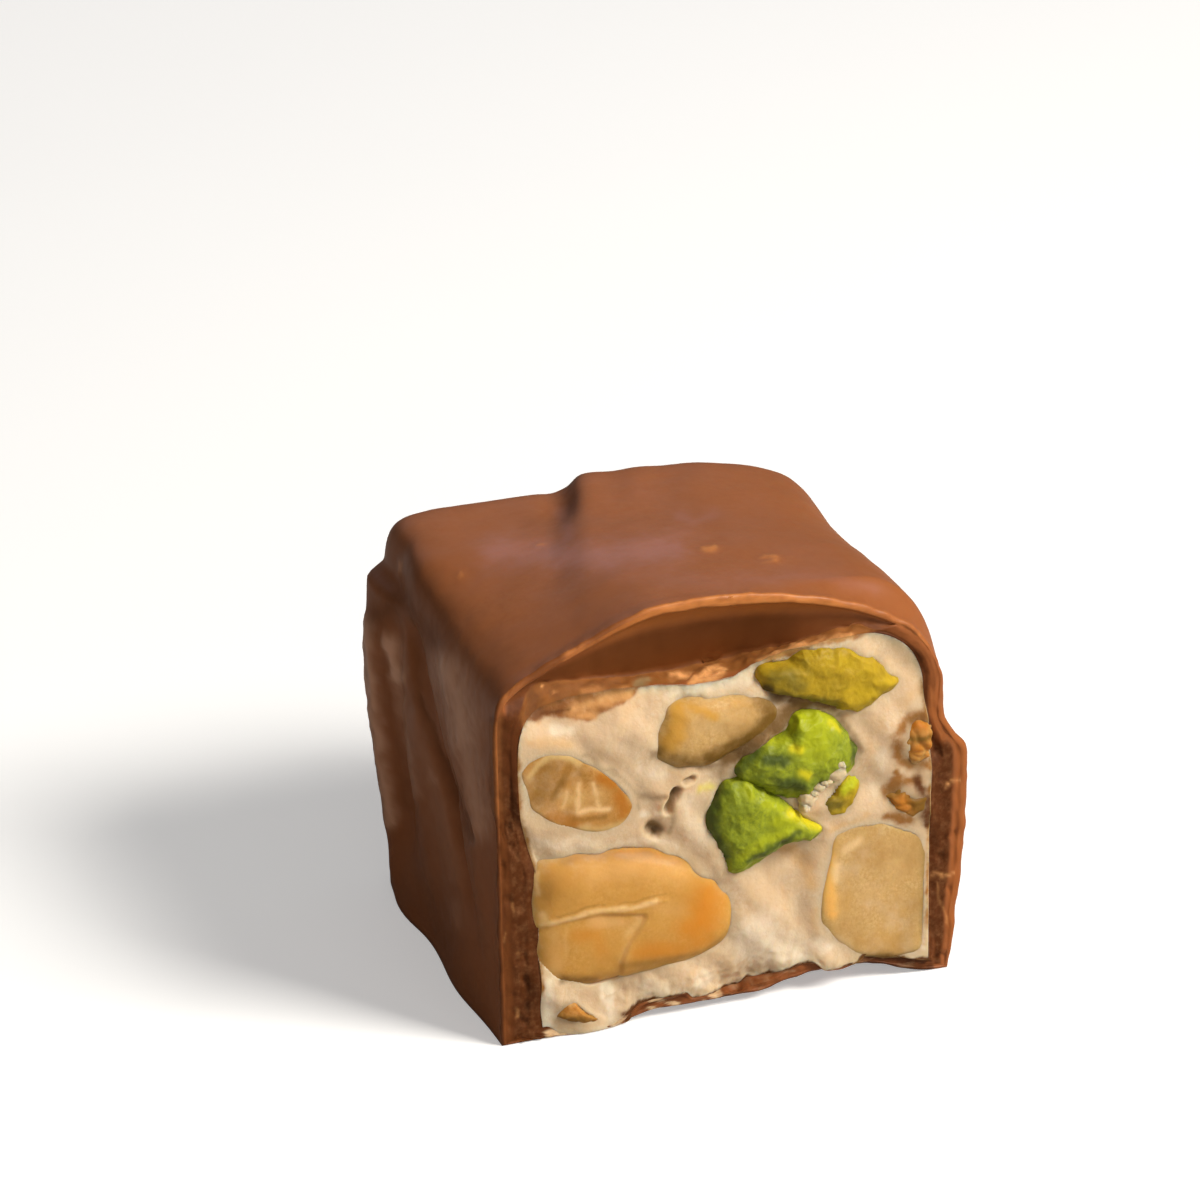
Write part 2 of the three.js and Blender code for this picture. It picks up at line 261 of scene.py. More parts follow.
@dataclass(frozen=True)
class BarForm:
    """The forms that the coating, the filling and the nuts share."""

    half_length: float = 13.5
    left_wall: float = 15.4
    right_wall: float = 15.0
    crown: float = 29.0
    floor: float = 0.8
    end_wall: float = 2.1
    foot_break_depth: float = 3.4
    corner_left: float = 16.0
    corner_right: float = 7.0
    corner_end: float = 14.0
    filling_corner: float = 12.0
    folds: tuple[Fold, ...] = (
        Fold(8.6, 0.02, 1.5, 3.0, 18.0, 0.55),
        Fold(5.4, 0.05, 1.1, 7.0, 20.0, -0.45),
        Fold(1.2, 0.10, 1.9, 6.0, 17.0, 0.35),
        Fold(-11.2, 0.68, 1.2, 8.0, 20.0, -0.75),
        Fold(-14.0, 0.45, 2.2, 9.0, 22.0, 0.35),
    )
    filling_line: Line = pairs(
        -14, 22.6, -11, 23.1, -8.4, 23.3, -5.7, 23.15, -1.8, 22.95, 0.9, 23.15, 2.3, 23.6, 5, 24.5,
        8.3, 24.95, 11, 24.9, 13.4, 24.3,
    )
    scoop_line: Line = pairs(
        -15.2, 24, -14.6, 24.3, -13.4, 24.4, -10.4, 23.85, -6.4, 23.15, -3.3, 23.1, 0.7, 23.25, 5, 24,
        8.7, 25.1, 10.5, 25.4, 12.5, 25,
    )
    cream_line: Line = pairs(
        -14, 22.3, -12.2, 22.5, -11, 22.4, -10, 21.9, -9, 21.7, -8.2, 22.4, -6.9, 22.6, -6, 23.2,
        -4.9, 23.6, -3.9, 23.4, -2.2, 23.6, -0.5, 23.3, 0.9, 23.7, 2.1, 24, 4, 24.15, 5.5, 24.45, 8, 24.6,
        10, 24.6, 11.5, 24.8,
    )
    grain: Grain = field(default_factory=lambda: Grain(23))

    @property
    def cut(self) -> float:
        """Where the cut lies along the bar."""
        return -self.half_length

    def top(self, x: Array, y: Array) -> Array:
        """Height of the coating's top."""
        at_cut = soft_min(31.25 + 0.434 * x, self.crown - 0.016 * (x + 2.0) ** 2, 0.6)
        shoulder = 2.1 * bump(x - 13.5, 5.5) * rise(y, self.cut, self.cut + 2.5)
        step = -4.4 + 0.31 * (y - 4.5)
        shelf = 27.0 + 0.9 * rise(x, step - 1.6, step + 1.6)
        at_end = soft_min(shelf, 28.0 - 0.014 * np.maximum(x - 2.5, 0.0) ** 2, 0.3)
        return mix(at_cut + shoulder, at_end, rise(y, self.cut, self.half_length - 4.0))

    def left(self, y: Array, z: Array) -> Array:
        """How far out the left side stands."""
        wall = self.left_wall + 1.4 * bump(y - 11.0, 6.0) * bump(z - 17.0, 11.0)
        wall += 0.5 * (bump(y + 5.0, 4.5) + bump(y - 6.5, 3.0)) * bump(z, 4.0)
        wall = wall - 1.1 * rise(z, 22.7, 23.7) * rise(y, 3.0, 9.0)
        return wall + sum(fold.height(y, z) for fold in self.folds)

    def right(self, y: Array, z: Array) -> Array:
        """How far out the right side stands, with its sagging skirt."""
        step = 16.2 + 0.8 * np.sin(0.28 * y)
        share = np.clip(z / step, 0.0, 1.0)
        belly = 0.5 * np.sin(np.pi * share) * (1.0 - rise(y, -8.0, 0.0))
        skirt = (mix(0.25, 1.6, share) + belly) * (1.0 - rise(z - step, -1.4, 1.8))
        return self.right_wall + skirt + 0.3 * bump(y - 3.0 - 0.1 * z, 2.2) * band(z, 5.0, 19.0, 3.0)

    def shell(self, a: Array, b: Array, c: Array) -> Array:
        """The cube -1..1 as the outside of the coating.

        Args:
            a: Places across, from the left side to the right one.
            b: Places along, from the cut to the rounded end.
            c: Places up, from the foot to the top.

        Returns:
            The points, one row each.
        """
        side = mix(self.corner_left, self.corner_right, rise(a, -0.6, 0.6))
        power = mix(side, self.corner_end, rise(b, 0.2, 1.0))
        reach = np.abs(a) ** power + np.maximum(b, 0.0) ** power + np.maximum(c, 0.0) ** power
        inward = np.minimum(np.maximum(reach, 1e-9) ** (-1.0 / power), 1.0)
        y = b * np.where(b > 0.0, inward, 1.0) * self.half_length
        z = (c * np.where(c > 0.0, inward, 1.0) + 1.0) / 2.0 * self.top(a * inward * self.left_wall, y)
        x = a * inward * np.where(a < 0.0, self.left(y, z), self.right(y, z))
        return np.stack([x, y, z], axis=1)

    def foot_arch(self, x: Array) -> Array:
        """How high the foot is broken away at the cut."""
        return 0.7 * rise(x, -8.6, -5.0) + 0.8 * rise(x, 1.5, 6.2) - 1.5 * rise(x, 8.5, 14.4)

    def foot_layer(self, x: Array) -> Array:
        """How much of the chocolate base still shows over the broken foot at the cut."""
        left = 0.75 * (1.0 - rise(x, -13.4, -12.2)) + 0.8 * band(x, -6.6, -3.4, 0.9)
        middle = 0.25 * band(x, -3.0, 0.5, 1.0)
        right = 0.75 * band(x, 1.6, 5.6, 0.9)
        return 0.06 + left + middle + right + 0.8 * rise(x, 8.4, 9.6)

    def filling_top(self, x: Array) -> Array:
        """Height of the filling under the top coating."""
        return trace(x, self.filling_line)

    def smeared(self, points: Array, wobble: Array) -> Array:
        """1 where chocolate is smeared over the ledge, 0 on the clean filling below it."""
        x, z = onto_cut(points)
        return rise(z - trace(x, self.cream_line, 0.3) + wobble, -0.25, 0.35)

    def filling_side(self, right: Array, z: Array) -> Array:
        """How far out the filling reaches on the left or the right."""
        on_left = 12.62 + 0.23 * rise(z, 0.0, 2.5) + 1.1 * rise(z, 11.0, 17.0)
        on_right = 13.75 + 0.2 * bump(z - 16.0, 3.0) - 0.35 * rise(z, 16.0, 21.0) - 0.9 * rise(z, 21.0, 25.0)
        return np.where(right, on_right, on_left)

    def filling_section(self, a: Array, c: Array, behind: Array) -> tuple[Array, Array]:
        """The square -1..1 as the filling's section.

        Args:
            a: Places across.
            c: Places up.
            behind: How far behind the cut the section lies.

        Returns:
            Places across the bar and heights.
        """
        power = self.filling_corner
        reach = np.abs(a) ** power + np.maximum(c, 0.0) ** power
        inward = np.minimum(np.maximum(reach, 1e-9) ** (-1.0 / power), 1.0)
        rough_x = a * inward * 13.6
        share = (c * np.where(c > 0.0, inward, 1.0) + 1.0) / 2.0
        at_cut = self.foot_arch(rough_x) + self.foot_layer(rough_x)
        low = mix(at_cut, self.floor, rise(behind, 0.3, self.foot_break_depth))
        sunk = 0.5 * rise(behind, 0.25, 0.6)
        z = mix(low, self.filling_top(rough_x) - sunk, share)
        return a * inward * self.filling_side(a > 0.0, z), z

    def face(self, x: Array, z: Array) -> Array:
        """How far the filling's torn face lies behind the cut."""
        waves = 0.22 * np.sin(0.8 * x + 0.5 * z) + 0.16 * np.sin(0.9 * z - 0.55 * x + 1.0)
        ragged = 0.12 * np.sin(2.1 * x + 0.7) * np.sin(1.8 * z)
        ledge = 1.5 * rise(z, 20.5, 24.5) * (1.0 - rise(x, -6.0, 9.0))
        lump = -0.9 * bump(x - 7.4, 1.3) * bump(z - 2.6, 1.2)
        hollow = 0.5 * bump(x - 0.5, 4.0) * bump(z - 0.8, 1.6)
        return waves + ragged + ledge + lump + hollow

    def torn(self, x: Array, z: Array) -> Array:
        """The torn face's unevenness, the same for the filling and for the chocolate where it meets it."""
        at = np.stack([x, np.zeros(len(x)), z], axis=1)
        height = 0.10 * self.grain.at(at, 3.0, 2) + 0.035 * self.grain.at(at, (0.8, 1.0, 1.3), 3)
        crumbly = rise(z - self.filling_top(x), -1.6, -0.4) * (1.0 - rise(x, 2.0, 9.0))
        return height + 0.10 * crumbly * self.grain.at(at + 5.3, 0.7, 3)

    def place(self, points: Array) -> Array:
        """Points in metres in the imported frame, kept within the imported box."""
        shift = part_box("chocolate_coating")[0].y / MM - self.cut
        low, high = (np.array(corner) for corner in CAD_BOX)
        placed = (points + (0.0, shift, 0.0)) * MM
        return np.clip(placed, low + 0.00001 * (low < 0.0), high - 0.00001)


@dataclass(frozen=True)
class NutForm:
    """A nut: the corners of its outline in the cut, how its body runs back, and how it meets the filling.

    depth is how far its middle lies behind the cut and reach half its size along the bar. A higher blunt
    gives a flatter front, and face is how far in front of the cut the front is sliced flat. collar is how far
    the filling creeps up round it and shade how dark its edge is there. soften is how wide its corners are
    rounded, in degrees, and blend how much its rim takes on the filling's tone.
    """

    name: str
    corners: Line
    depth: float
    reach: float
    blunt: float
    face: float | None = None
    collar: float = 0.12
    shade: float = 0.2
    soften: float = 5.0
    blend: float = 0.0

    @property
    def middle(self) -> tuple[float, float]:
        """The middle of the outline."""
        low, high = np.min(self.corners, axis=0), np.max(self.corners, axis=0)
        return tuple((low + high) / 2.0)

    @property
    def half_size(self) -> float:
        """Half the narrower way across the outline."""
        return float(np.min(np.ptp(self.corners, axis=0))) / 2.0

    def outline(self, angle: Array) -> Array:
        """Distance from the middle to the outline at some angles, with the corners rounded."""
        turns = np.radians(np.arange(0.0, 360.0, 1.0))
        ways = np.stack([np.cos(turns), np.sin(turns)], axis=1)
        corners = np.array(self.corners) - self.middle
        sizes = np.zeros(len(turns))
        for start, end in zip(corners, np.roll(corners, -1, axis=0)):
            side = end - start
            cross = ways[:, 0] * side[1] - ways[:, 1] * side[0]
            cross = np.where(np.abs(cross) < 1e-9, 1e-9, cross)
            size = (start[0] * side[1] - start[1] * side[0]) / cross
            share = (start[0] * ways[:, 1] - start[1] * ways[:, 0]) / cross
            met = (size > 0.0) & (share >= -1e-9) & (share <= 1.0 + 1e-9)
            sizes = np.where(met, np.maximum(sizes, size), sizes)
        offsets = np.arange(-15, 16)
        weights = bump(offsets, self.soften)
        smooth = sum(weight * np.roll(sizes, step) for weight, step in zip(weights, offsets)) / weights.sum()
        return np.interp(angle % (2.0 * np.pi), np.append(turns, 2.0 * np.pi), np.append(smooth, smooth[0]))

    def body(self, x: Array, behind: Array, z: Array) -> Array:
        """1 on the whole nut's skin, less inside and more outside, for places from its middle."""
        widest = (1.0 - (self.depth / self.reach) ** self.blunt) ** (-1.0 / self.blunt)
        flat = np.hypot(x, z) / (self.outline(np.arctan2(z, x)) * widest)
        return (flat**self.blunt + np.abs(behind / self.reach) ** self.blunt) ** (1.0 / self.blunt)

    def fill(self, x: Array, behind: Array, z: Array) -> Array:
        """The same for the nut with its front sliced flat."""
        body = self.body(x, behind, z)
        if self.face is None:
            return body
        sharp = 40.0
        front = np.maximum(-behind, 0.0) / (self.depth + self.face)
        return (body**sharp + front**sharp) ** (1.0 / sharp)

    def local(self, x: Array, y: Array, z: Array) -> tuple[Array, Array, Array]:
        """Places from the nut's middle."""
        return x - self.middle[0], y - BAR.cut - self.depth, z - self.middle[1]


BAR = BarForm()


# ---- Mesh work ----------------------------------------------------------------------------


class Axis(Enum):
    """An axis of the bar, with its place in a vector."""

    ACROSS = 0
    ALONG = 1
    UP = 2


class Slot(Enum):
    """The record's material slots."""

    CHOCOLATE = "milk_chocolate"
    NOUGAT = "nougat"
    TOASTED = "toasted_nut"
    ROASTED = "roasted_nut"
    PALE = "pale_nut"
    OLIVE = "olive_pistachio"
    GREEN = "green_pistachio"


def begin(name: str, add: Callable[..., set], **sizes: object) -> Piece:
    """Adds a primitive under a name and opens it for editing.

    Args:
        name: The new piece's name.
        add: The operator that adds it.
        sizes: What the operator is given.

    Returns:
        The new piece, in edit mode, with nothing else selected.
    """
    bpy.ops.object.select_all(action="DESELECT")
    add(**sizes)
    piece = bpy.context.object
    piece.name = piece.data.name = name
    bpy.ops.object.transform_apply(location=True, rotation=True, scale=True)
    bpy.ops.object.mode_set(mode="EDIT")
    bpy.ops.mesh.select_mode(type="EDGE")
    return piece


def pick(piece: Piece, kind: str, wanted: Callable[..., bool]) -> None:
    """Selects the edges or the faces of an open piece that pass a test."""
    bpy.ops.mesh.select_all(action="DESELECT")
    mesh = bmesh.from_edit_mesh(piece.data)
    for part in getattr(mesh, kind):
        part.select = wanted(part)
    mesh.select_flush_mode()
    bmesh.update_edit_mesh(piece.data)


def pick_edges(piece: Piece, wanted: Callable[[Vector, Vector], bool]) -> None:
    """Selects the edges of an open piece whose two ends pass a test."""
    pick(piece, "edges", lambda edge: wanted(edge.verts[0].co, edge.verts[1].co))


def at_front(start: Vector, end: Vector) -> bool:
    """Whether an edge lies in the front of the cube -1..1."""
    return start.y + end.y < 100.0 * TINY - 2.0


def cut_along(piece: Piece, axis: Axis, cuts: int, wanted: Callable[[Vector], bool] = bool) -> None:
    """Cuts each edge that runs along an axis into equal lengths.

    Args:
        piece: The open piece.
        axis: The axis that the edges run along.
        cuts: How many cuts are made in each edge.
        wanted: A test of an edge's middle that narrows the choice.
    """

    def runs(start: Vector, end: Vector) -> bool:
        """True for an edge along the axis that passes the test."""
        run = end - start
        return abs(run[axis.value]) > 0.999 * run.length and wanted((start + end) / 2)

    pick_edges(piece, runs)
    bpy.ops.mesh.subdivide(number_cuts=cuts)


def close_edit() -> None:
    """Leaves edit mode."""
    bpy.ops.object.mode_set(mode="OBJECT")


def select(*pieces: Piece) -> None:
    """Selects some pieces and nothing else, the first of them active."""
    bpy.ops.object.select_all(action="DESELECT")
    for piece in pieces:
        piece.select_set(True)
    bpy.context.view_layer.objects.active = pieces[0]


def make_ball(name: str, cells: int) -> Piece:
    """A cube cut into fine cells and rounded to a ball."""
    piece = begin(name, bpy.ops.mesh.primitive_cube_add, size=2.0)
    bpy.ops.mesh.select_all(action="SELECT")
    bpy.ops.mesh.subdivide(number_cuts=cells - 1)
    bpy.ops.transform.tosphere(value=1.0)
    close_edit()
    return piece


def read_points(piece: Piece) -> Array:
    """A piece's vertices, one row each."""
    flat = np.empty(3 * len(piece.data.vertices))
    piece.data.vertices.foreach_get("co", flat)
    return flat.reshape(-1, 3)


def read_normals(piece: Piece) -> Array:
    """The direction that each vertex of a piece faces."""
    flat = np.empty(3 * len(piece.data.vertices), dtype=np.float32)
    piece.data.vertex_normals.foreach_get("vector", flat)
    return flat.reshape(-1, 3).astype(float)


def write_points(piece: Piece, points: Array) -> None:
    """Moves a piece's vertices to new places."""
    piece.data.vertices.foreach_set("co", points.astype(np.float32).ravel())
    piece.data.update()


def finish_piece(piece: Piece, marks: Marks, material: Material, slot: Slot, *nodes: str) -> None:
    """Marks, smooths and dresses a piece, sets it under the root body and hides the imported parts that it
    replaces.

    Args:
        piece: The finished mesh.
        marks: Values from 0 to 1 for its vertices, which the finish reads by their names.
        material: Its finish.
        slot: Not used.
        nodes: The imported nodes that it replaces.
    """
    for name, values in marks.items():
        layer = piece.data.attributes.new(name, "FLOAT", "POINT")
        layer.data.foreach_set("value", np.clip(values, 0.0, 1.0).astype(np.float32))
    select(piece)
    bpy.ops.object.shade_smooth()
    piece.data.materials.clear()
    piece.data.materials.append(material)
    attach(piece, "root")
    if nodes:
        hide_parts(*nodes)
    LOG.info("%s: %d vertices", piece.name, len(piece.data.vertices))


# ---- Finishes -----------------------------------------------------------------------------


class Board:
    """A node tree that is filled in one node after another."""

    def __init__(self, tree: bpy.types.NodeTree) -> None:
        """Starts from an empty tree."""
        self.tree = tree
        tree.nodes.clear()

    def add(
        self, kind: str, inputs: dict[str | int, object] | None = None, **settings: object
    ) -> bpy.types.Node:
        """Adds a node.

        Args:
            kind: The node's type.
            inputs: A value or an output for each named or numbered input.
            settings: The node's own settings.

        Returns:
            The node.
        """
        node = self.tree.nodes.new(kind)
        for name, value in settings.items():
            setattr(node, name, value)
        for name, value in (inputs or {}).items():
            if isinstance(value, Socket):
                self.tree.links.new(value, node.inputs[name])
            else:
                node.inputs[name].default_value = value
        return node

    def math(self, operation: str, *values: object) -> Socket:
        """The result of a sum on one to three values."""
        return self.add("ShaderNodeMath", dict(enumerate(values)), operation=operation).outputs[0]

    def blend(self, share: object, first: object, second: object) -> Socket:
        """The result of laying a second colour over a first one."""
        return self.add("ShaderNodeMix", {0: share, 6: first, 7: second}, data_type="RGBA").outputs[2]

    def remap(
        self, value: object, low: float, high: float, to_low: float = 0.0, to_high: float = 1.0
    ) -> Socket:
        """A value stretched smoothly from one range to another."""
        inputs = {"Value": value, "From Min": low, "From Max": high, "To Min": to_low, "To Max": to_high}
        return self.add("ShaderNodeMapRange", inputs, interpolation_type="SMOOTHSTEP").outputs["Result"]

    def noise(self, where: object, scale: object, detail: float = 4.0, rough: float = 0.5) -> Socket:
        """Noise of a scale per metre."""
        inputs = {"Vector": where, "Scale": scale, "Detail": detail, "Roughness": rough}
        return self.add("ShaderNodeTexNoise", inputs).outputs["Fac"]

    def mark(self, name: str) -> Socket:
        """The value that each vertex keeps under a name."""
        return self.add("ShaderNodeAttribute", attribute_name=name).outputs["Fac"]

    def effect(self, group: bpy.types.NodeTree, **inputs: object) -> dict[str, Socket]:
        """The outputs of a shared effect."""
        return self.add("ShaderNodeGroup", inputs, node_tree=group).outputs


NUMBER, COLOUR = "NodeSocketFloat", "NodeSocketColor"
WHITE = (1.0, 1.0, 1.0, 1.0)


def make_group(
    name: str, outputs: dict[str, str], **inputs: object
) -> tuple[Board, dict[str, Socket], Socket]:
    """Starts a shared effect.

    Args:
        name: The group's name.
        outputs: Kind of each output.
        inputs: Plain value of each input, a number or a colour.

    Returns:
        The group's board, its inputs and the place on the piece.
    """
    group = bpy.data.node_groups.new(name, "ShaderNodeTree")
    board = Board(group)
    for label, value in inputs.items():
        kind = COLOUR if value is WHITE else NUMBER
        group.interface.new_socket(label, in_out="INPUT", socket_type=kind).default_value = value
    for label, kind in outputs.items():
        group.interface.new_socket(label, in_out="OUTPUT", socket_type=kind)
    given = board.add("NodeGroupInput").outputs
    return board, given, board.add("ShaderNodeTexCoord").outputs["Object"]


class Effects:
    """The effects that the finishes share, each made once."""

    def __init__(self) -> None:
        """Makes the shared groups."""
        self.tone = self.make_tone()
        self.smear = self.make_smear()
        self.crumb = self.make_crumb()

    def make_tone(self) -> bpy.types.NodeTree:
        """Uneven colour: broad patches and a fine grain, darker and lighter than a base."""
        board, given, where = make_group(
            "uneven_tone", {"Color": COLOUR}, Base=WHITE, Deep=WHITE, Light=WHITE, Patch=200.0, Grain=2500.0,
            Strength=1.0,
        )
        broad = board.noise(where, given["Patch"], 5.0, 0.55)
        fine = board.noise(where, given["Grain"], 3.0, 0.6)
        strength = given["Strength"]
        deep = board.math("MULTIPLY", board.remap(broad, 0.5, 0.28), strength)
        light = board.math("MULTIPLY", board.remap(board.math("ADD", broad, fine), 1.0, 1.35), strength)
        dark_grain = board.remap(fine, 0.5, 0.3)
        dark_grain = board.math("MULTIPLY", dark_grain, board.math("MULTIPLY", strength, 0.5))
        colour = board.blend(deep, given["Base"], given["Deep"])
        colour = board.blend(dark_grain, colour, given["Deep"])
        board.add("NodeGroupOutput", {"Color": board.blend(light, colour, given["Light"])})
        return board.tree

    def make_smear(self) -> bpy.types.NodeTree:
        """A colour laid over another where a mark says so, broken up at its edge: a real mark, or painted
        light or shade.
        """
        board, given, where = make_group(
            "smear", {"Color": COLOUR, "Mask": NUMBER}, Color=WHITE, Stain=WHITE, Mark=0.0, Break=900.0,
            Ragged=0.5,
        )
        broken = board.math("SUBTRACT", board.noise(where, given["Break"], 4.0, 0.6), 0.5)
        uneven = board.math("MULTIPLY_ADD", broken, board.math("MULTIPLY", given["Ragged"], 3.0), 1.0)
        inside = board.remap(board.math("MULTIPLY", uneven, given["Mark"]), 0.0, 1.0)
        colour = board.blend(inside, given["Color"], given["Stain"])
        board.add("NodeGroupOutput", {"Color": colour, "Mask": inside})
        return board.tree

    def make_crumb(self) -> bpy.types.NodeTree:
        """The small relief of a surface: soft lumps, grain and pits, whose depth is also given out to darken
        the pits as painted shade.
        """
        board, given, where = make_group(
            "crumb_relief", {"Height": NUMBER, "Pit": NUMBER}, Lumps=700.0, Grain=4000.0, Pits=2500.0,
            Pitted=0.3,
        )
        lumps = board.noise(where, given["Lumps"], 3.0, 0.5)
        grain = board.noise(where, given["Grain"], 2.0, 0.5)
        cells = board.add("ShaderNodeTexVoronoi", {"Vector": where, "Scale": given["Pits"]})
        holes = board.remap(cells.outputs["Distance"], 0.30, 0.08)
        chance = board.remap(board.noise(where, given["Lumps"], 2.0, 0.5), 0.5, 0.62)
        pit = board.math("MULTIPLY", board.math("MULTIPLY", holes, chance), given["Pitted"])
        height = board.math("MULTIPLY_ADD", grain, 0.35, lumps)
        board.add("NodeGroupOutput", {"Height": board.math("SUBTRACT", height, pit), "Pit": pit})
        return board.tree


@dataclass(frozen=True)
class Stain:
    """A colour laid on where a mark says so, a real mark or painted light or shade, with the size and
    raggedness of its broken edge.
    """

    mark: str
    colour: Triple
    breaks: float = 900.0
    ragged: float = 0.5
    rough: float = 0.0


@dataclass(frozen=True)
class Finish:
    """A food surface: its colours, relief, gloss and how far light sinks into it."""

    name: str
    base: Triple
    deep: Triple
    light: Triple
    stains: tuple[Stain, ...] = ()
    patch: float = 200.0
    grain: float = 4600.0
    strength: float = 0.6
    lumps: float = 1300.0
    pits: float = 2600.0
    pitted: float = 0.12
    relief: float = 0.4
    relief_size: float = 0.0002
    rough: tuple[float, float] = (0.42, 0.56)
    sink: float = 0.4
    sink_colour: Triple = (1.0, 0.5, 0.25)
    sink_depth: float = 0.001
    specular: float = 0.15
    coarse: float = 0.0

    def make(self, effects: Effects) -> Material:
        """Makes the material from the shared effects."""
        material = bpy.data.materials.new(self.name)
        material.use_nodes = True
        board = Board(material.node_tree)
        base, deep, light = ((*colour, 1.0) for colour in (self.base, self.deep, self.light))
        colour = board.effect(
            effects.tone, Base=base, Deep=deep, Light=light, Patch=self.patch, Grain=self.grain,
            Strength=self.strength,
        )["Color"]
        crumb = board.effect(
            effects.crumb, Lumps=self.lumps, Grain=self.grain, Pits=self.pits, Pitted=self.pitted
        )
        where = board.add("ShaderNodeTexCoord").outputs["Object"]
        rough = board.remap(board.noise(where, self.lumps * 0.6, 4.0, 0.6), 0.3, 0.7, *self.rough)
        for stain in self.stains:
            smear = board.effect(
                effects.smear, Mark=board.mark(stain.mark), Color=colour, Stain=(*stain.colour, 1.0),
                Break=stain.breaks, Ragged=stain.ragged,
            )
            colour = smear["Color"]
            if stain.rough:
                rough = board.math("MULTIPLY_ADD", smear["Mask"], stain.rough, rough)
        # Painted shade: the pits are coloured with the deep tone.
        colour = board.blend(board.math("MULTIPLY", crumb["Pit"], 0.7), colour, deep)
        height = crumb["Height"]
        if self.coarse:
            coarser = board.math("MULTIPLY_ADD", board.mark("broken"), self.coarse, 1.0)
            height = board.math("MULTIPLY", height, coarser)
        relief = {"Strength": self.relief, "Distance": self.relief_size, "Height": height}
        raised = board.add("ShaderNodeBump", relief)
        surface = board.add("ShaderNodeBsdfPrincipled", {
            "Base Color": colour, "Roughness": rough, "Normal": raised.outputs["Normal"],
            "Subsurface Weight": self.sink, "Subsurface Radius": self.sink_colour,
            "Subsurface Scale": self.sink_depth, "Specular IOR Level": self.specular,
        })
        board.add("ShaderNodeOutputMaterial", {"Surface": surface.outputs["BSDF"]})
        return material


FROM_FILLING = Stain("cream", (0.64, 0.44, 0.24), 1500.0, 0.6)
CHOCOLATE = Finish(
    "chocolate_satin", base=(0.315, 0.100, 0.030), deep=(0.265, 0.080, 0.022), light=(0.350, 0.120, 0.040),
    stains=(
        # Painted reflection: the lilac sheen of the sky on the top.
        Stain("bloom", (0.37, 0.148, 0.105), 400.0, 0.08),
        # Painted highlight: the pale sheen on the ridges of the left side.
        Stain("frost", (0.70, 0.37, 0.23), 400.0, 0.08),
        # Painted shade: the grooves and shoulder of the left side and the valley on the top.
        Stain("dusk", (0.165, 0.054, 0.016), 400.0, 0.08, 0.25),
        # Painted shade: the broken walls of the cut, darker for the weaker light on the front-facing cut.
        Stain("cut_wall", (0.085, 0.020, 0.001), 1300.0, 0.35, 0.2),
        # Painted shade: the recess under the lip, the dark corner on the left and the dull left part of the
        # rim.
        Stain("hollow", (0.150, 0.043, 0.008), 600.0, 0.2, 0.15),
        Stain("edge", (0.33, 0.100, 0.024), 900.0, 0.4),
        # Partly a lighter broken edge, partly painted highlight: the catch light and glow of light through
        # the thin lip and rim. On the strip of the left side next to the cut it is painted light.
        Stain("lip", (0.40, 0.128, 0.028), 900.0, 0.3),
        Stain("rim", (0.56, 0.200, 0.052), 1100.0, 0.35),
        Stain("ledge", (0.26, 0.092, 0.020), 1900.0, 0.6, 0.2),
        Stain("mauve", (0.17, 0.062, 0.020), 1900.0, 0.6, 0.15),
        Stain("dun", (0.28, 0.17, 0.07), 1900.0, 0.5, 0.1),
        Stain("fringe", (0.78, 0.36, 0.125), 1700.0, 0.6, 0.15),
        Stain("dark", (0.100, 0.028, 0.006), 1700.0, 0.5, 0.15),
        Stain("grit", (0.34, 0.15, 0.06), 2300.0, 2.2),
        Stain("cream", (0.62, 0.42, 0.23), 1500.0, 0.6),
    ),
    patch=120.0, grain=2600.0, strength=0.35, lumps=420.0, pits=1500.0, pitted=0.06, relief=0.06,
    rough=(0.36, 0.48), sink=0.10, sink_colour=(1.0, 0.35, 0.12), sink_depth=0.0006, specular=0.17,
    coarse=9.0,
)
NOUGAT = Finish(
    "nougat_cream", base=(0.66, 0.475, 0.295), deep=(0.60, 0.400, 0.225), light=(0.71, 0.56, 0.39),
    stains=(
        Stain("tan", (0.66, 0.41, 0.19), 600.0, 0.5),
        # Partly pale lumps of filling, partly painted light on the lower middle of the face.
        Stain("bright", (0.80, 0.65, 0.47), 700.0, 0.5),
        Stain("tint", (0.70, 0.58, 0.14), 700.0, 0.5),
        Stain("toast", (0.33, 0.145, 0.038), 1100.0, 0.6),
        Stain("ledge", (0.29, 0.108, 0.028), 1900.0, 0.5),
        Stain("mauve", (0.18, 0.068, 0.024), 1900.0, 0.6),
        Stain("dun", (0.30, 0.19, 0.08), 1900.0, 0.5),
        Stain("fringe", (0.62, 0.31, 0.105), 1300.0, 0.35),
        Stain("shade", (0.19, 0.105, 0.038), 900.0, 0.35),
        Stain("dark", (0.12, 0.038, 0.009), 1700.0, 0.5),
    ),
    patch=420.0, grain=4200.0, strength=0.45, lumps=1500.0, pitted=0.14, relief=0.28,
    relief_size=0.00022, rough=(0.55, 0.72), sink=0.6, sink_colour=(1.0, 0.62, 0.36), sink_depth=0.0014,
)
TOASTED = Finish(
    "toasted_almond", base=(0.60, 0.305, 0.066), deep=(0.50, 0.235, 0.040), light=(0.68, 0.38, 0.11),
    stains=(
        FROM_FILLING,
        Stain("pale", (0.72, 0.40, 0.135), 500.0, 0.3),
        Stain("warm", (0.62, 0.225, 0.016), 500.0, 0.3),
        # bright and dark: on the long almond these are partly painted highlight and painted shade.
        Stain("bright", (0.86, 0.56, 0.24), 1100.0, 0.4),
        Stain("dark", (0.28, 0.13, 0.022), 900.0, 0.4),
    ),
    patch=300.0, strength=0.55, lumps=900.0, pitted=0.06, relief=0.16, rough=(0.36, 0.48), sink=0.5,
    sink_colour=(1.0, 0.55, 0.2), sink_depth=0.0014, specular=0.2,
)
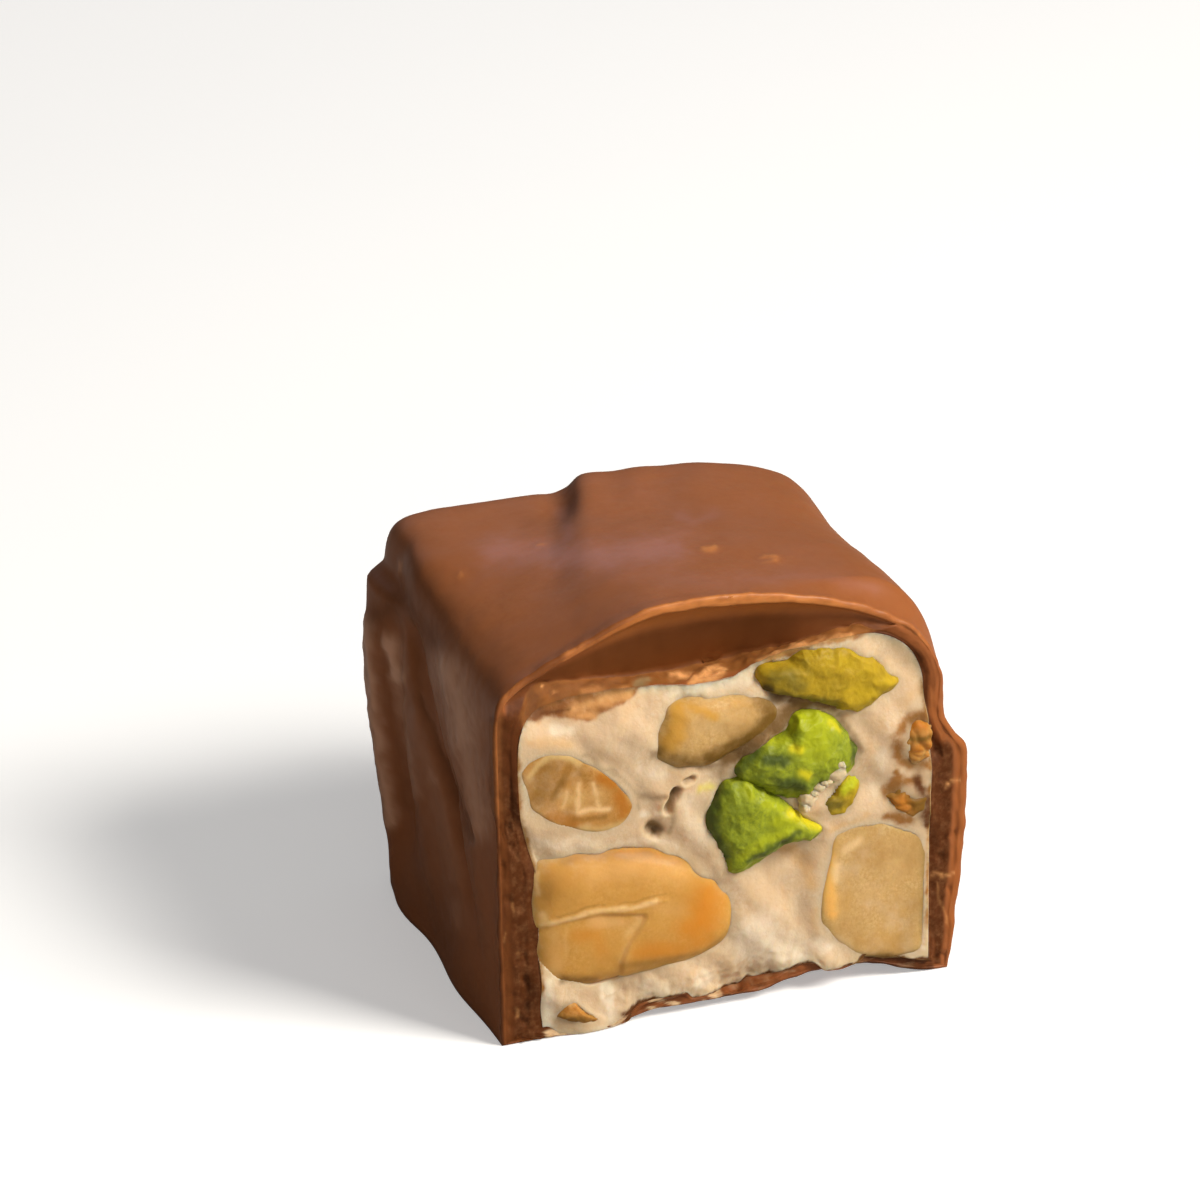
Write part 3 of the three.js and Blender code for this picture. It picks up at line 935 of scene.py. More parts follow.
ROASTED = Finish(
    "roasted_almond", base=(0.47, 0.225, 0.052), deep=(0.33, 0.140, 0.026), light=(0.58, 0.31, 0.09),
    stains=(
        FROM_FILLING,
        Stain("pale", (0.64, 0.41, 0.16), 700.0, 0.4),
        Stain("warm", (0.46, 0.165, 0.018), 700.0, 0.4),
        Stain("dark", (0.20, 0.095, 0.013), 900.0, 0.4),
        Stain("bright", (0.82, 0.53, 0.25), 1100.0, 0.4),
    ),
    patch=520.0, strength=0.7, lumps=1200.0, relief=0.28, sink_colour=(1.0, 0.5, 0.2), sink_depth=0.0008,
)
PALE = Finish(
    "pale_almond", base=(0.58, 0.355, 0.130), deep=(0.46, 0.255, 0.074), light=(0.70, 0.47, 0.21),
    stains=(
        FROM_FILLING,
        # On the right almond this pale is partly painted highlight.
        Stain("pale", (0.80, 0.55, 0.27), 700.0, 0.4),
        Stain("warm", (0.62, 0.33, 0.058), 600.0, 0.4),
        Stain("bright", (0.85, 0.45, 0.11), 700.0, 0.3, -0.15),
        # On the upper almond this dark is painted shade.
        Stain("dark", (0.17, 0.085, 0.012), 900.0, 0.4),
    ),
    patch=420.0, strength=0.7, lumps=1100.0, pitted=0.10, relief=0.24, sink=0.5,
    sink_colour=(1.0, 0.6, 0.28), sink_depth=0.0012,
)
OLIVE = Finish(
    "olive_pistachio", base=(0.42, 0.275, 0.014), deep=(0.30, 0.200, 0.012), light=(0.50, 0.335, 0.018),
    stains=(
        Stain("pale", (0.53, 0.355, 0.016), 900.0, 0.4),
        Stain("lime", (0.42, 0.42, 0.012), 900.0, 0.4),
        # On the olive pistachio partly painted shadow.
        Stain("dark", (0.19, 0.145, 0.020), 900.0, 0.4),
        Stain("spot", (0.055, 0.035, 0.010), 900.0, 0.4),
    ),
    patch=620.0, strength=0.8, relief=0.32, sink_colour=(0.8, 0.6, 0.15), sink_depth=0.0009,
)
GREEN = Finish(
    "green_pistachio", base=(0.26, 0.30, 0.016), deep=(0.14, 0.18, 0.014), light=(0.34, 0.375, 0.014),
    stains=(
        Stain("pale", (0.38, 0.41, 0.010), 1100.0, 0.5),
        Stain("bright", (0.62, 0.54, 0.012), 1100.0, 0.4),
        # Partly dark skin, partly painted shade on the green pistachios.
        Stain("dark", (0.075, 0.10, 0.014), 1100.0, 0.5),
    ),
    patch=620.0, strength=0.9, relief=0.36, rough=(0.38, 0.52), sink_colour=(0.7, 0.8, 0.15),
    sink_depth=0.0009, specular=0.2,
)


LEDGE_STROKES = strokes_of(
    mauve=(
        (0.75, 0.8, -13.2, 24.9, -12.6, 23.6, -12.9, 22.9), (0.5, 0.6, -11.7, 24.2, -10.9, 23.8),
        (0.3, 0.5, -12.2, 24.7, -9.6, 24.4, -7.2, 24),
    ),
    dark=(
        (0.25, 0.65, -12.3, 22.9, -10.4, 22.85), (0.2, 0.4, -9, 24.5, -8, 24.3),
        (0.2, 0.5, -1.8, 24.1, -1.4, 24.3), (0.2, 0.45, 1.6, 24.2, 2.6, 24.3),
    ),
    fringe=(
        (0.3, 0.5, -14.4, 24.4, -13.9, 24.3), (0.16, 0.6, -12, 24.6), (0.14, 0.5, -11.3, 24.2),
        (0.48, 0.9, -10.3, 22.7, -8.7, 22.9, -6.6, 23.2), (0.4, 0.8, -9.6, 22.3, -8.9, 22.1),
        (0.32, 0.9, -2.4, 23.4, -0.8, 23.5), (0.35, 0.35, -9.4, 23.9, -8.2, 23.7),
        (0.28, 0.8, -13.5, 22.1, -12.2, 22.2), (0.3, 0.9, -3.5, 24, -2.6, 23.9),
        (0.34, 0.9, -1.2, 23.8, -0.2, 23.7), (0.3, 0.7, 2.4, 24, 4.4, 24.5, 6.2, 24.8, 8.4, 24.8),
    ),
    dun=((0.28, 0.9, -5.9, 23.9, -5.2, 23.9),),
)
SHELL_STROKES = strokes_of(
    # These strokes raise the ridges of the left side and paint their sheen as a highlight.
    frost=(
        (0.5, 1, 1.4, -22.9, 29.4, -22.4, 26.6), (0.6, 0.42, 1.4, -22.9, 29, -22, 23.4, -21.2, 18),
        (1.3, 0.24, 1.4, -21.4, 24, -19.8, 18, -18.8, 12),
        (1.35, 0.66, 1.5, -18.6, 27, -17.9, 25, -17.5, 21.7), (1.2, 0.54, 1.5, -17.4, 22, -16.6, 15.6),
        (0.55, 0.8, 1.5, -24.6, 31, -24.4, 26, -24, 21, -23.4, 16.2), (0.4, 0.4, 1.4, -20.2, 19.8, -20, 19),
        (0.8, 0.28, 1.4, -18.8, 9.8, -18.5, 8.6),
    ),
    groove=(
        (0.46, 0.95, 1.3, -21, 25.2, -20.2, 22.6, -18.6, 18.4, -17.5, 14.8),
        (0.7, 0.55, 1.5, -21.2, 29.4, -20.9, 24.6), (0.6, 0.5, 1.5, -23.7, 28, -23, 22, -22.4, 17),
        (1.3, 0.25, 1.5, -20.4, 11, -19.4, 7.5),
    ),
    # Painted shade: the valley on the top, the left shoulder and the side below it.
    dusk=(
        (1.4, 0.6, 1.5, -22.3, 31.9, -23.7, 31.2), (1.2, 0.6, 1.4, -21.8, 32.3, -21, 30.8, -19.8, 28.9),
        (2.1, 0.42, 1.3, -20.6, 33.8, -17.8, 30.8, -14.6, 27), (0.95, 0.55, 1.5, -10.4, 38, -10.6, 36.2),
        (1.1, 0.4, 1.5, -13, 36.2, -11.3, 36.4), (0.9, 0.2, 1.5, -1.5, 35.3, -0.3, 34.1, -0.1, 33.2),
        (1.6, 0.22, 1.5, -20.6, 36.6, -19, 34.6, -14, 32.4, -15, 30.2),
    ),
    # Painted reflection: lilac sheen bands on the top.
    bloom=(
        (0.7, 0.7, 1.5, -10.7, 36.8, -10.3, 34.9, -11, 33),
        (1.3, 0.8, 1.4, -15.4, 34.5, -11.8, 33.8, -8, 33, -3.4, 32.9),
        (0.9, 0.3, 1.4, -8.9, 32.2, -4, 30.9, 1, 29.7),
        (0.55, 0.45, 1.4, -2.8, 35.2, -1.8, 34.4, -0.4, 34.9),
        (0.7, 0.4, 1.4, 1, 29.9, 6.5, 29.4, 10.2, 27.9),
    ),
    speck=(
        (0.22, 0.7, -1.1, 32.4, -0.4, 32.4), (0.2, 0.6, 2.8, 31.2, 3.7, 31),
        (0.24, 0.6, -22.2, 34.2, -22.1, 34.8), (0.18, 0.5, -17.7, 33.2),
        (0.13, 0.5, -12.5, 34.5, -11.7, 34.5),
    ),
)
WALL_STROKES = strokes_of(
    dark=(
        (0.35, 0.5, -15, 10.2, -15.2, 7.4), (0.35, 0.45, -14.5, 7.6, -14.3, 5.2),
        (0.4, 0.45, -13.7, 15.6, -13.5, 12), (0.4, 0.4, -14.2, 3.6, -14, 1.8),
        (0.55, 0.35, 14.3, 16.6, 14.4, 9), (0.45, 0.45, 14.3, 5.6, 14.2, 2.2),
    ),
    fringe=(
        (0.5, 0.16, -15.2, 22.9, -15.3, 19.4, -15.1, 16.8), (0.14, 0.35, -14.4, 9.9, -14.3, 9.5),
        (0.16, 0.3, -15.3, 8.8), (0.12, 0.35, -15, 7.9, -15.1, 7.5), (0.18, 0.35, -14.2, 6.4),
        (0.13, 0.3, -14.4, 11.3), (0.18, 0.45, -14.3, 2.3, -14.3, 2),
        (0.22, 0.6, 15, 13.2, 15.7, 13.5, 16.4, 13.6), (0.16, 0.45, 13.9, 7, 14.8, 6.7, 15.6, 6.8),
        (0.14, 0.3, 14.4, 6.3, 14.7, 4.8, 15, 3.2),
    ),
)


# ---- Coating ------------------------------------------------------------------------------


@dataclass
class ChocolateCoating:
    """The milk-chocolate coating: a cube with a hollow pushed in at the cut, moulded to the bar."""

    across: int = 104
    along: int = 96
    up: int = 92
    ring_rows: int = 27
    hollow_rows: int = 9
    wall: float = 0.1
    hollow_depth: float = 1.7
    rim_round: float = 0.2
    lip_share: float = 0.22
    scoop_share: float = 0.43
    lip: float = 0.48
    scoop_depth: float = 2.8
    scoop_span: tuple[float, float] = (-15.2, 11.8)
    # How strongly the rim's painted highlight shows along the cut; where it is low, the hollow mark paints
    # the rim in shade.
    rim_light: Line = pairs(
        -15.2, 0, -14.6, 0.6, -13.8, 0.5, -13, 0.1, -11, 0.1, -10.4, 0.7, -9.6, 0.6, -8.6, 0.15, -7, 0.25,
        -5.4, 0.7, -3, 0.9, 4, 0.9, 8, 0.7, 10, 0.4, 13, 0.5, 15, 0.2,
    )
    grain: Grain = field(default_factory=lambda: Grain(11))

    def block(self) -> Piece:
        """A cube with its front face inset and pushed back, cut into fine cells."""
        piece = begin("chocolate_shell", bpy.ops.mesh.primitive_cube_add, size=2.0)
        bpy.ops.mesh.select_mode(type="FACE")
        pick(piece, "faces", lambda side: side.normal.y < -0.9)
        bpy.ops.mesh.inset(thickness=self.wall, use_even_offset=True)
        bpy.ops.mesh.extrude_region_move(TRANSFORM_OT_translate={"value": (0.0, self.hollow_depth, 0.0)})
        bpy.ops.mesh.select_mode(type="EDGE")
        inside = 1.0 - self.wall / 2
        pick_edges(piece, lambda start, end: at_front(start, end) and abs(start.x - end.x) < 0.5
                   and abs(start.z - end.z) < 0.5)
        bpy.ops.mesh.subdivide(number_cuts=self.ring_rows)
        cut_along(piece, Axis.ALONG, self.hollow_rows, lambda at: abs(at.x) < inside and abs(at.z) < inside)
        cut_along(piece, Axis.ALONG, self.along - 1, lambda at: abs(at.x) > inside)
        for axis, cells in ((Axis.ACROSS, self.across), (Axis.UP, self.up)):
            cut_along(piece, axis, 1)
            cut_along(piece, axis, cells // 2 - 1)
        seam = 1.0 - self.wall + 10.0 * TINY
        pick_edges(piece, lambda start, end: at_front(start, end)
                   and max(abs(start.x), abs(start.z), abs(end.x), abs(end.z)) < seam)
        bpy.ops.mesh.mark_sharp()
        close_edit()
        return piece

    def scoop(self, x: Array) -> Array:
        """How open the hollow under the lip is, from 0 to 1."""
        low, high = self.scoop_span
        share = np.clip((x - low) / (high - low), 0.0, 1.0)
        return np.sin(np.pi * share) ** 0.5

    def shell_points(self, cube: Array) -> Array:
        """The outside, with its edge at the cut rounded and its foot broken away."""
        a, b, c = cube.T
        b = 2.0 * ((b + 1.0) / 2.0) ** 1.35 - 1.0
        points = BAR.shell(a, b, c)
        x, y, z = points.T
        behind = y - BAR.cut
        radius = self.rim_round + 0.35 * band(x, 12.0, 20.0, 2.0) * band(z, 4.0, 19.0, 2.0)
        tight = np.clip(1.0 - behind / radius, 0.0, 1.0)
        inset = radius * (1.0 - np.sqrt(1.0 - tight**2))
        sideways = np.abs(a) ** 10
        upward = np.abs(c) ** 10
        total = np.maximum(np.hypot(sideways, upward), 1e-6)
        x = x - np.sign(a) * inset * sideways / total
        z = z - np.sign(c) * inset * upward / total
        under = np.clip(1.0 - behind / BAR.foot_break_depth, 0.0, 1.0)
        lifted = BAR.foot_arch(x) * under
        share = np.clip(z / BAR.crown, 0.0, 1.0)
        z = z + lifted * np.clip(1.0 - share * 6.0, 0.0, 1.0)
        return np.stack([x, y, np.maximum(z, 0.0)], axis=1)

    def ring_points(self, cube: Array) -> tuple[Array, Array, Array]:
        """The cut through the coating: lip, hollow under it, ledge, and the walls' broken faces.

        Args:
            cube: The ring's places on the cube's front.

        Returns:
            The points, the share of the way from the rim to the filling, and the scoop's openness.
        """
        a, _, c = cube.T
        far = np.maximum(np.abs(a), np.abs(c))
        way = (1.0 - far) / self.wall
        edge_a, edge_c = a / far, c / far
        outer = self.shell_points(np.stack([edge_a, -np.ones(len(a)), edge_c], axis=1))
        in_x, in_z = BAR.filling_section(edge_a, edge_c, np.zeros(len(a)))
        in_behind = BAR.face(in_x, in_z) + BAR.torn(in_x, in_z)
        on_top = rise(edge_c, 0.9, 1.0)
        open_ = self.scoop(outer[:, 0]) * on_top
        lip = self.lip * (0.8 + 0.4 * bump(outer[:, 0] + 1.0, 6.0))
        deep = self.scoop_depth * open_ * (1.0 - 0.6 * rise(outer[:, 0], 1.0, 9.5))
        first, second = self.lip_share, self.lip_share + self.scoop_share
        turn = np.clip((way - first) / self.scoop_share, 0.0, 1.0)
        ledge = np.clip((way - second) / (1.0 - second), 0.0, 1.0)
        under_lip = outer[:, 2] - lip
        foot = trace(outer[:, 0], BAR.scoop_line) + 0.05 + 0.10 * self.grain.at(outer, 0.9, 3)
        foot = np.minimum(foot, under_lip - 0.05)
        lip = lip * (1.0 + 0.18 * self.grain.at(outer, (1.6, 3.0, 3.0), 2))
        height = np.interp(way, [0.0, 0.07, 0.15, first], [0.0, 0.4, 0.85, 1.0])
        height = np.where(way > first, mix(under_lip, foot, turn), outer[:, 2] - height * lip)
        height = np.where(way > second, mix(foot, in_z - 0.05, ledge), height)
        behind = np.interp(way, [0.0, 0.10, 0.15, first], [0.0, 0.0, 0.05, 0.3])
        behind = np.where(way > first, mix(0.3, deep, turn**0.62), behind)
        behind = np.where(way > second, mix(deep, in_behind - 0.05, ledge), behind)
        x = mix(outer[:, 0], in_x, np.where(way > first, turn, 0.0))
        hollow = np.stack([x, BAR.cut + behind, height], axis=1)
        wall_x, wall_z = mix(outer[:, 0], in_x, way), mix(outer[:, 2], in_z, way)
        flat = np.stack([wall_x, BAR.cut + mix(0.0, in_behind, rise(way, 0.55, 1.0)), wall_z], axis=1)
        return mix(flat, hollow, rise(open_, 0.02, 0.3)[:, None]), way, open_

    def hollow_points(self, cube: Array) -> Array:
        """The hollow that the filling sits in."""
        inside = 1.0 - self.wall
        a, b, c = cube[:, 0] / inside, (cube[:, 1] + 1.0) / self.hollow_depth, cube[:, 2] / inside
        end = 2.0 * BAR.half_length - BAR.end_wall
        x, z = BAR.filling_section(a, c, b * end)
        start = BAR.face(x, z)
        return np.stack([x, BAR.cut + mix(start, end, b), z], axis=1)

    def build(self, material: Material) -> Piece:
        """Models, moulds and dresses the coating."""
        piece = self.block()
        cube = read_points(piece)
        inside = 1.0 - self.wall
        a, b, c = cube.T
        far = np.maximum(np.abs(a), np.abs(c))
        on_front = b < TINY - 1.0
        in_ring = on_front & (far < 1.0 - TINY)
        in_hollow = ~on_front & (far < inside + 10.0 * TINY) & (b < self.hollow_depth - 1.0 + TINY)
        in_shell = ~(in_ring | in_hollow)
        points = np.empty_like(cube)
        points[in_shell] = self.shell_points(cube[in_shell])
        points[in_hollow] = self.hollow_points(cube[in_hollow])
        points[in_ring], way, open_ = self.ring_points(cube[in_ring])
        write_points(piece, points)
        marks = self.weather(piece, points, in_shell, in_ring, way, open_)
        finish_piece(piece, marks, material, Slot.CHOCOLATE, "chocolate_coating")
        return piece

    def weather(
        self, piece: Piece, points: Array, in_shell: Array, in_ring: Array, way: Array, open_: Array
    ) -> Marks:
        """Adds the fine unevenness, places the piece and marks its surfaces.

        Args:
            piece: The moulded mesh.
            points: Its vertices.
            in_shell: Which of them are the outside.
            in_ring: Which of them are the cut through the coating.
            way: How far each ring vertex lies on the way from the rim to the filling.
            open_: How open the scoop is at each ring vertex.

        Returns:
            The marks that the finish reads.
        """
        normals = read_normals(piece)
        behind, z = points[:, 1] - BAR.cut, points[:, 2]
        on_ring, opened = np.zeros(len(points)), np.zeros(len(points))
        on_ring[in_ring], opened[in_ring] = way, open_
        free = rise(z, 0.05, 1.2)
        swell = 0.10 * self.grain.at(points, 6.0, 2) + 0.02 * self.grain.at(points, 1.6, 2) - 0.10
        swell += self.top_folds(points)
        drawn = paint(points, SHELL_STROKES, self.grain)
        # The ridge strokes raise the folds and the groove strokes sink them; their painted highlight and
        # shade are laid on in the marks.
        swell += (0.30 * drawn["frost"] - 0.42 * drawn["groove"]) * rise(-points[:, 0], 12.0, 14.0)
        swell += 0.12 * drawn["speck"] * rise(z, 22.0, 25.0)
        move = np.where(in_shell, swell * free * rise(behind, 0.0, 1.5), 0.0)
        uneven = 0.10 * self.grain.at(points, (1.3, 4.0, 1.3), 2) * (1 - rise(behind, 0.1, 1.2)) * free
        move += np.where(in_shell & (behind < 1.2), uneven, 0.0)
        pitted = self.grain.at(points, (1.1, 1.1, 0.9), 2)
        pits = -0.16 * rise(pitted, 0.25, 0.7) * (1.0 - rise(z, 15.0, 18.5))
        rough = 0.07 * self.grain.at(points, 0.9, 3) - 0.04 + pits
        from_edge = np.where(points[:, 0] < 0.0, -0.1, 0.12)
        rough = rough * band(on_ring - from_edge, 0.0, 0.73, 0.1) * (1.0 - rise(opened, 0.1, 0.3))
        move += np.where(in_ring, rough, 0.0)
        crumbly = (0.05 + 0.20 * self.grain.at(points, (0.9, 0.9, 0.7), 3)) * rise(on_ring, 0.55, 0.7)
        hollow = 0.05 * self.grain.at(points, 2.4, 2)
        scooped = (hollow + crumbly) * band(on_ring, 0.30, 0.90, 0.08) * rise(opened, 0.1, 0.3)
        move += np.where(in_ring, scooped, 0.0)
        write_points(piece, BAR.place(points + normals * move[:, None]))
        return self.marks(points, in_shell, in_ring, on_ring, opened)

    def top_folds(self, points: Array) -> Array:
        """The fold across the top, with its valley to the left and its hump to the right."""
        x, y, z = points.T
        across = x - np.interp(y, [4.5, 12.9], [-3.9, -1.3])
        length = rise(y, 3.5, 8.0) * rise(z, 22.0, 25.0)
        valley = -0.22 * bump(across + 0.9, 1.4)
        hump = 0.20 * rise(across, -0.6, 0.5) * (1.0 - rise(across, 0.6, 3.4))
        waves = 0.10 * bump(across - 4.2, 1.3) - 0.08 * bump(across - 6.6, 1.5)
        return (valley + hump + waves) * length

    def marks(self, points: Array, in_shell: Array, in_ring: Array, on_ring: Array, opened: Array) -> Marks:
        """The marks that the finish reads.

        Args:
            points: The piece's vertices, before they are placed.
            in_shell: Which of them are the outside.
            in_ring: Which of them are the cut through the coating.
            on_ring: How far each lies on the way from the rim to the filling.
            opened: How open the scoop is there.

        Returns:
            The strength of each mark.
        """
        x, y, z = points.T
        behind = y - BAR.cut
        flat_x, _ = onto_cut(points)
        bright = np.interp(flat_x, *zip(*self.rim_light))
        on_crown = rise(z, 22.0, 24.0)
        at_edge = np.where(in_shell, 1.0 - rise(behind, 0.05, 0.40), 1.0 - rise(on_ring, 0.09, 0.22))
        face = np.where(in_ring, band(on_ring, 0.0, 0.25, 0.14) * opened, 0.0)
        walls = np.where(in_ring, 1.0 - opened, 0.0)
        ledge = np.where(in_ring, rise(on_ring, 0.62, 0.70) * rise(opened, 0.05, 0.3), 0.0)
        outer = np.where(in_shell, 1.0 - rise(behind, 0.1, 0.8), walls * (1.0 - rise(on_ring, 0.08, 0.28)))
        on_left = rise(-x, 10.0, 13.0) * (1.0 - rise(z, 22.5, 24.0))
        left_edge = np.where(in_shell, 1.0 - rise(behind, 0.2, 0.8), walls) * on_left
        broad = 0.35 + 1.0 * band(z, 16.6, 22.4, 0.8) + 0.3 * self.grain.at(points, (1.0, 1.0, 0.9), 2)
        on_walls = walls * (1.0 - rise(on_ring, 0.12, 0.36))
        corner = np.where(in_shell, 1.0 - rise(behind / broad, 0.7, 1.1), on_walls) * on_left
        bead = (1.0 - rise(on_ring, 0.65, 0.95)) * rise(x, 9.0, 12.0) * rise(z, 15.8, 17.2)
        bead = bead * (1.0 - 0.55 * rise(z, 19.0, 20.8))
        foot = (1.0 - rise(z, 2.2, 3.2)) * band(x, -12.5, 14.0, 0.5)
        foot = np.where(in_ring | (behind < 0.5), foot, 0.0)
        wobble = 0.3 * self.grain.at(points, 0.9, 3)
        laid = paint(points, LEDGE_STROKES, self.grain)
        chips = paint(points, WALL_STROKES, self.grain)
        rough = np.where(x < 0.0, 1.0, rise(on_ring, 0.12, 0.3))
        patchy = 0.75 + 0.5 * self.grain.at(points, (0.5, 1.5, 0.5), 2)
        drawn = paint(points, SHELL_STROKES, self.grain)
        off_cut = rise(behind, 0.3, 1.0)
        on_side = np.where(in_shell, rise(-x, 11.5, 13.5), 0.0) * off_cut
        on_top = np.where(in_shell, rise(z, 21.0, 23.5), 0.0) * off_cut * (1.0 - rise(y, 12.4, 13.2))
        broken = rough * mix(1.0, rise(on_ring, 0.6, 0.7), rise(opened, 0.1, 0.3))
        right_edge = outer * rise(x, 0.0, 6.0) * band(z, 3.0, 18.0, 2.0)
        clean = walls * rise(on_ring, 0.15, 0.40) * (1.0 - foot) * (1.0 - bead)
        stained = np.maximum(ledge * laid["dark"], walls * chips["dark"])
        crumbs = rise(self.grain.at(points + 3.1, (1.1, 3.0, 0.5), 3), 0.02, 0.35)
        return {
            "broken": np.where(in_ring, broken, left_edge),
            # Painted reflection of the sky on the top.
            "bloom": drawn["bloom"] * on_top,
            # Painted highlight on the ridges of the left side.
            "frost": drawn["frost"] * on_side,
            # Painted shade in the grooves of the left side and along the strokes on the top and side.
            "dusk": np.maximum(0.7 * drawn["groove"] * on_side, drawn["dusk"] * np.maximum(on_top, on_side)),
            # Painted highlight on the rim, the light specks on the top, and painted light on the strip of the
            # left side next to the cut.
            "rim": np.maximum(
                np.maximum(at_edge * on_crown * bright * patchy, drawn["speck"] * on_top),
                np.where(in_shell, 0.34 * corner * band(z, 16.6, 22.4, 0.8), 0.0),
            ),
            # Partly painted highlight on the lip's front face.
            "lip": face * on_crown * rise(x, -13.0, -5.0),
            "edge": np.maximum(right_edge, np.where(in_ring, bead, 0.0)) * 0.85,
            # Painted shade on the broken walls of the cut.
            "cut_wall": np.maximum(clean, np.where(in_ring, left_edge, 0.0)),
            # Painted shade under the lip, in the left corner and on the left rim.
            "hollow": np.maximum(
                np.where(in_ring, opened * band(on_ring, 0.40, 0.68, 0.14), 0.7 * corner),
                0.7 * np.maximum(corner, at_edge * on_crown * (1.0 - bright) * rise(-x, 4.0, 8.0)),
            ),
            "ledge": ledge * BAR.smeared(points, wobble),
            "mauve": ledge * laid["mauve"],
            "dun": ledge * laid["dun"],
            "fringe": np.maximum(ledge * laid["fringe"], walls * chips["fringe"]),
            "dark": np.maximum(stained, (0.5 + 0.35 * rise(x, 6.0, 9.0)) * foot),
            "cream": 0.8 * foot * crumbs * (1.0 - 0.7 * rise(x, -1.5, 0.5)),
            "grit": 0.16 * walls * rise(on_ring, 0.2, 0.35) * (1.0 - rise(z, 17.0, 21.0)) * (1.0 - foot),
        }


# ---- Filling ------------------------------------------------------------------------------


@dataclass(frozen=True)
class Hole:
    """An air hole at the cut: its ends, its half width and its depth."""

    line: Line
    width: float
    deep: float


@dataclass
class NougatFilling:
    """The pale filling: a fine grid for the torn face, drawn back into a block with pockets for the nuts."""

    across: int = 210
    up: int = 190
    rows: tuple[float, ...] = (0.5, 1.2, 2.2, 3.6, 8.0, 14.0, 20.0, 24.7)
    margin: float = 0.015
    holes: tuple[Hole, ...] = (
        Hole(((-5.2, 13.8), (-4.8, 13.5)), 0.42, 0.75),
        Hole(((-3.4, 16.0), (-3.7, 15.3), (-4.0, 14.8)), 0.26, 0.70),
        Hole(((-2.8, 16.55), (-2.3, 16.7)), 0.18, 0.40),
    )
    strokes: tuple[Stroke, ...] = strokes_of(
        tan=(
            (0.55, 0.75, 3.6, 10.9, 4.4, 10.4, 5.2, 9.4, 5.5, 7.8), (0.4, 0.4, 5.8, 6, 5.7, 3.8),
            (0.35, 0.6, 6.9, 11.5, 8.2, 11.9, 9.2, 12.2), (0.8, 0.35, 10, 18.4, 9.9, 14.6),
            (0.6, 0.4, 11.8, 19.6, 13.2, 20.4), (0.45, 0.55, -12.9, 21, -12, 20.8, -10.6, 20.6),
            (0.45, 0.3, -7.2, 20.4, -6.8, 21.6, -5.8, 22.8), (0.5, 0.3, -8.6, 19.6, -7.4, 18.8),
            (0.5, 0.25, 1.4, 8.4, 1.6, 4.6), (0.4, 0.25, 3.6, 8.2, 3.8, 5.2),
            (0.8, 0.25, 9.6, 23.6, 11.4, 22.6, 12.8, 21.4), (0.7, 0.2, 3.4, 7.8, 3.8, 6.2),
        ),
        bright=(
            (0.4, 0.9, -11.5, 21.6, -10.4, 21.4), (0.8, 0.25, -8.2, 21.4, -6.6, 20.2, -5.8, 18.6),
            (0.5, 0.6, -3.6, 22.8, -1, 22.9, 1.4, 23), (0.5, 0.7, -5.5, 17.9, -4.4, 17.3),
            (0.34, 0.9, -5.5, 14.8), (0.22, 0.7, -4.7, 14.7),
            (0.75, 0.55, -2.8, 15.2, -2.3, 13.6, -1.6, 12.2),
            (0.4, 0.6, -12.7, 14, -11.4, 13.6, -8.8, 13.3), (0.3, 0.5, -7.4, 13.2, -5, 12.8, -3.4, 12.2),
            (0.7, 0.5, 10.6, 16.2, 10, 13.6), (0.6, 0.95, 6.9, 2.9, 6.1, 3.6),
            # The wide stroke from 2.2, 5.6 is painted light, lifting the lower middle of the face out of the
            # relief's shade.
            (1.3, 0.85, 2.2, 5.6, 1.1, 4.4, 4.6, 3.2), (0.5, 0.7, -2, 2, -1.7, 2.6),
            (0.5, 1, -12.3, 3.9, -12.4, 1), (0.45, 1, -8.4, 3, -8, 1), (0.22, 0.8, 13.5, 1.9),
            (0.6, 0.6, -6, 2.6, -4.6, 2.2),
        ),
        shade=(
            (0.7, 0.75, 3.2, 21.4, 4.2, 21.7, 5, 21.5), (0.28, 0.55, -5.9, 16.2, -4.9, 16, -4.1, 15.8),
            (0.3, 0.5, -3.5, 14.7, -3.9, 13.2),
            (0.22, 0.45, -9.5, 19.6, -7.8, 18.1, -6.2, 16.5, -5.8, 15.3),
            (0.45, 0.6, -4.8, 18.9, -4.1, 18.4, -2.9, 17.8, -1.2, 17.4, 0.3, 17.6),
            (0.95, 1, 0, 17.6, 1.4, 18.3, 3, 19.4, 4.3, 20.3, 5.4, 20.8), (0.5, 1, 4.4, 21.1, 7.1, 20.3),
            (0.35, 0.6, 7.5, 19.5, 8.6, 18, 8.9, 16.8), (0.3, 0.6, 2.1, 10.6, 3.4, 11.3, 4.9, 11.9),
            (0.3, 0.6, -11.4, 4.1, -9.2, 3.6),
        ),
        tint=((0.35, 0.8, -1.9, 15.9, -1.2, 16),),
        toast=(
            (0.5, 0.85, 13.6, 18.4, 12.2, 18.5, 11.5, 17.2, 11.8, 15.6, 13.6, 15),
            (0.42, 1, 10.8, 13.7, 11.8, 14.2, 13.1, 13.9), (0.3, 0.8, 11.6, 14.8, 11.9, 14),
            (0.45, 1, 10.9, 12, 12.4, 11.3),
        ),
        dark=(
            (0.4, 0.8, 13, 14.2, 13.5, 12.8, 13.6, 10.9),
            (0.28, 0.7, -7.1, 0.9, -5.9, 1.2, -4.2, 1.2, -2.3, 0.9),
            (0.26, 0.7, 0.4, 0.9, 2.5, 1.3, 4.1, 1.5),
        ),
        fringe=((0.3, 0.6, -2.1, 0.8, 0.4, 0.4),),
    )
    grain: Grain = field(default_factory=lambda: Grain(23))

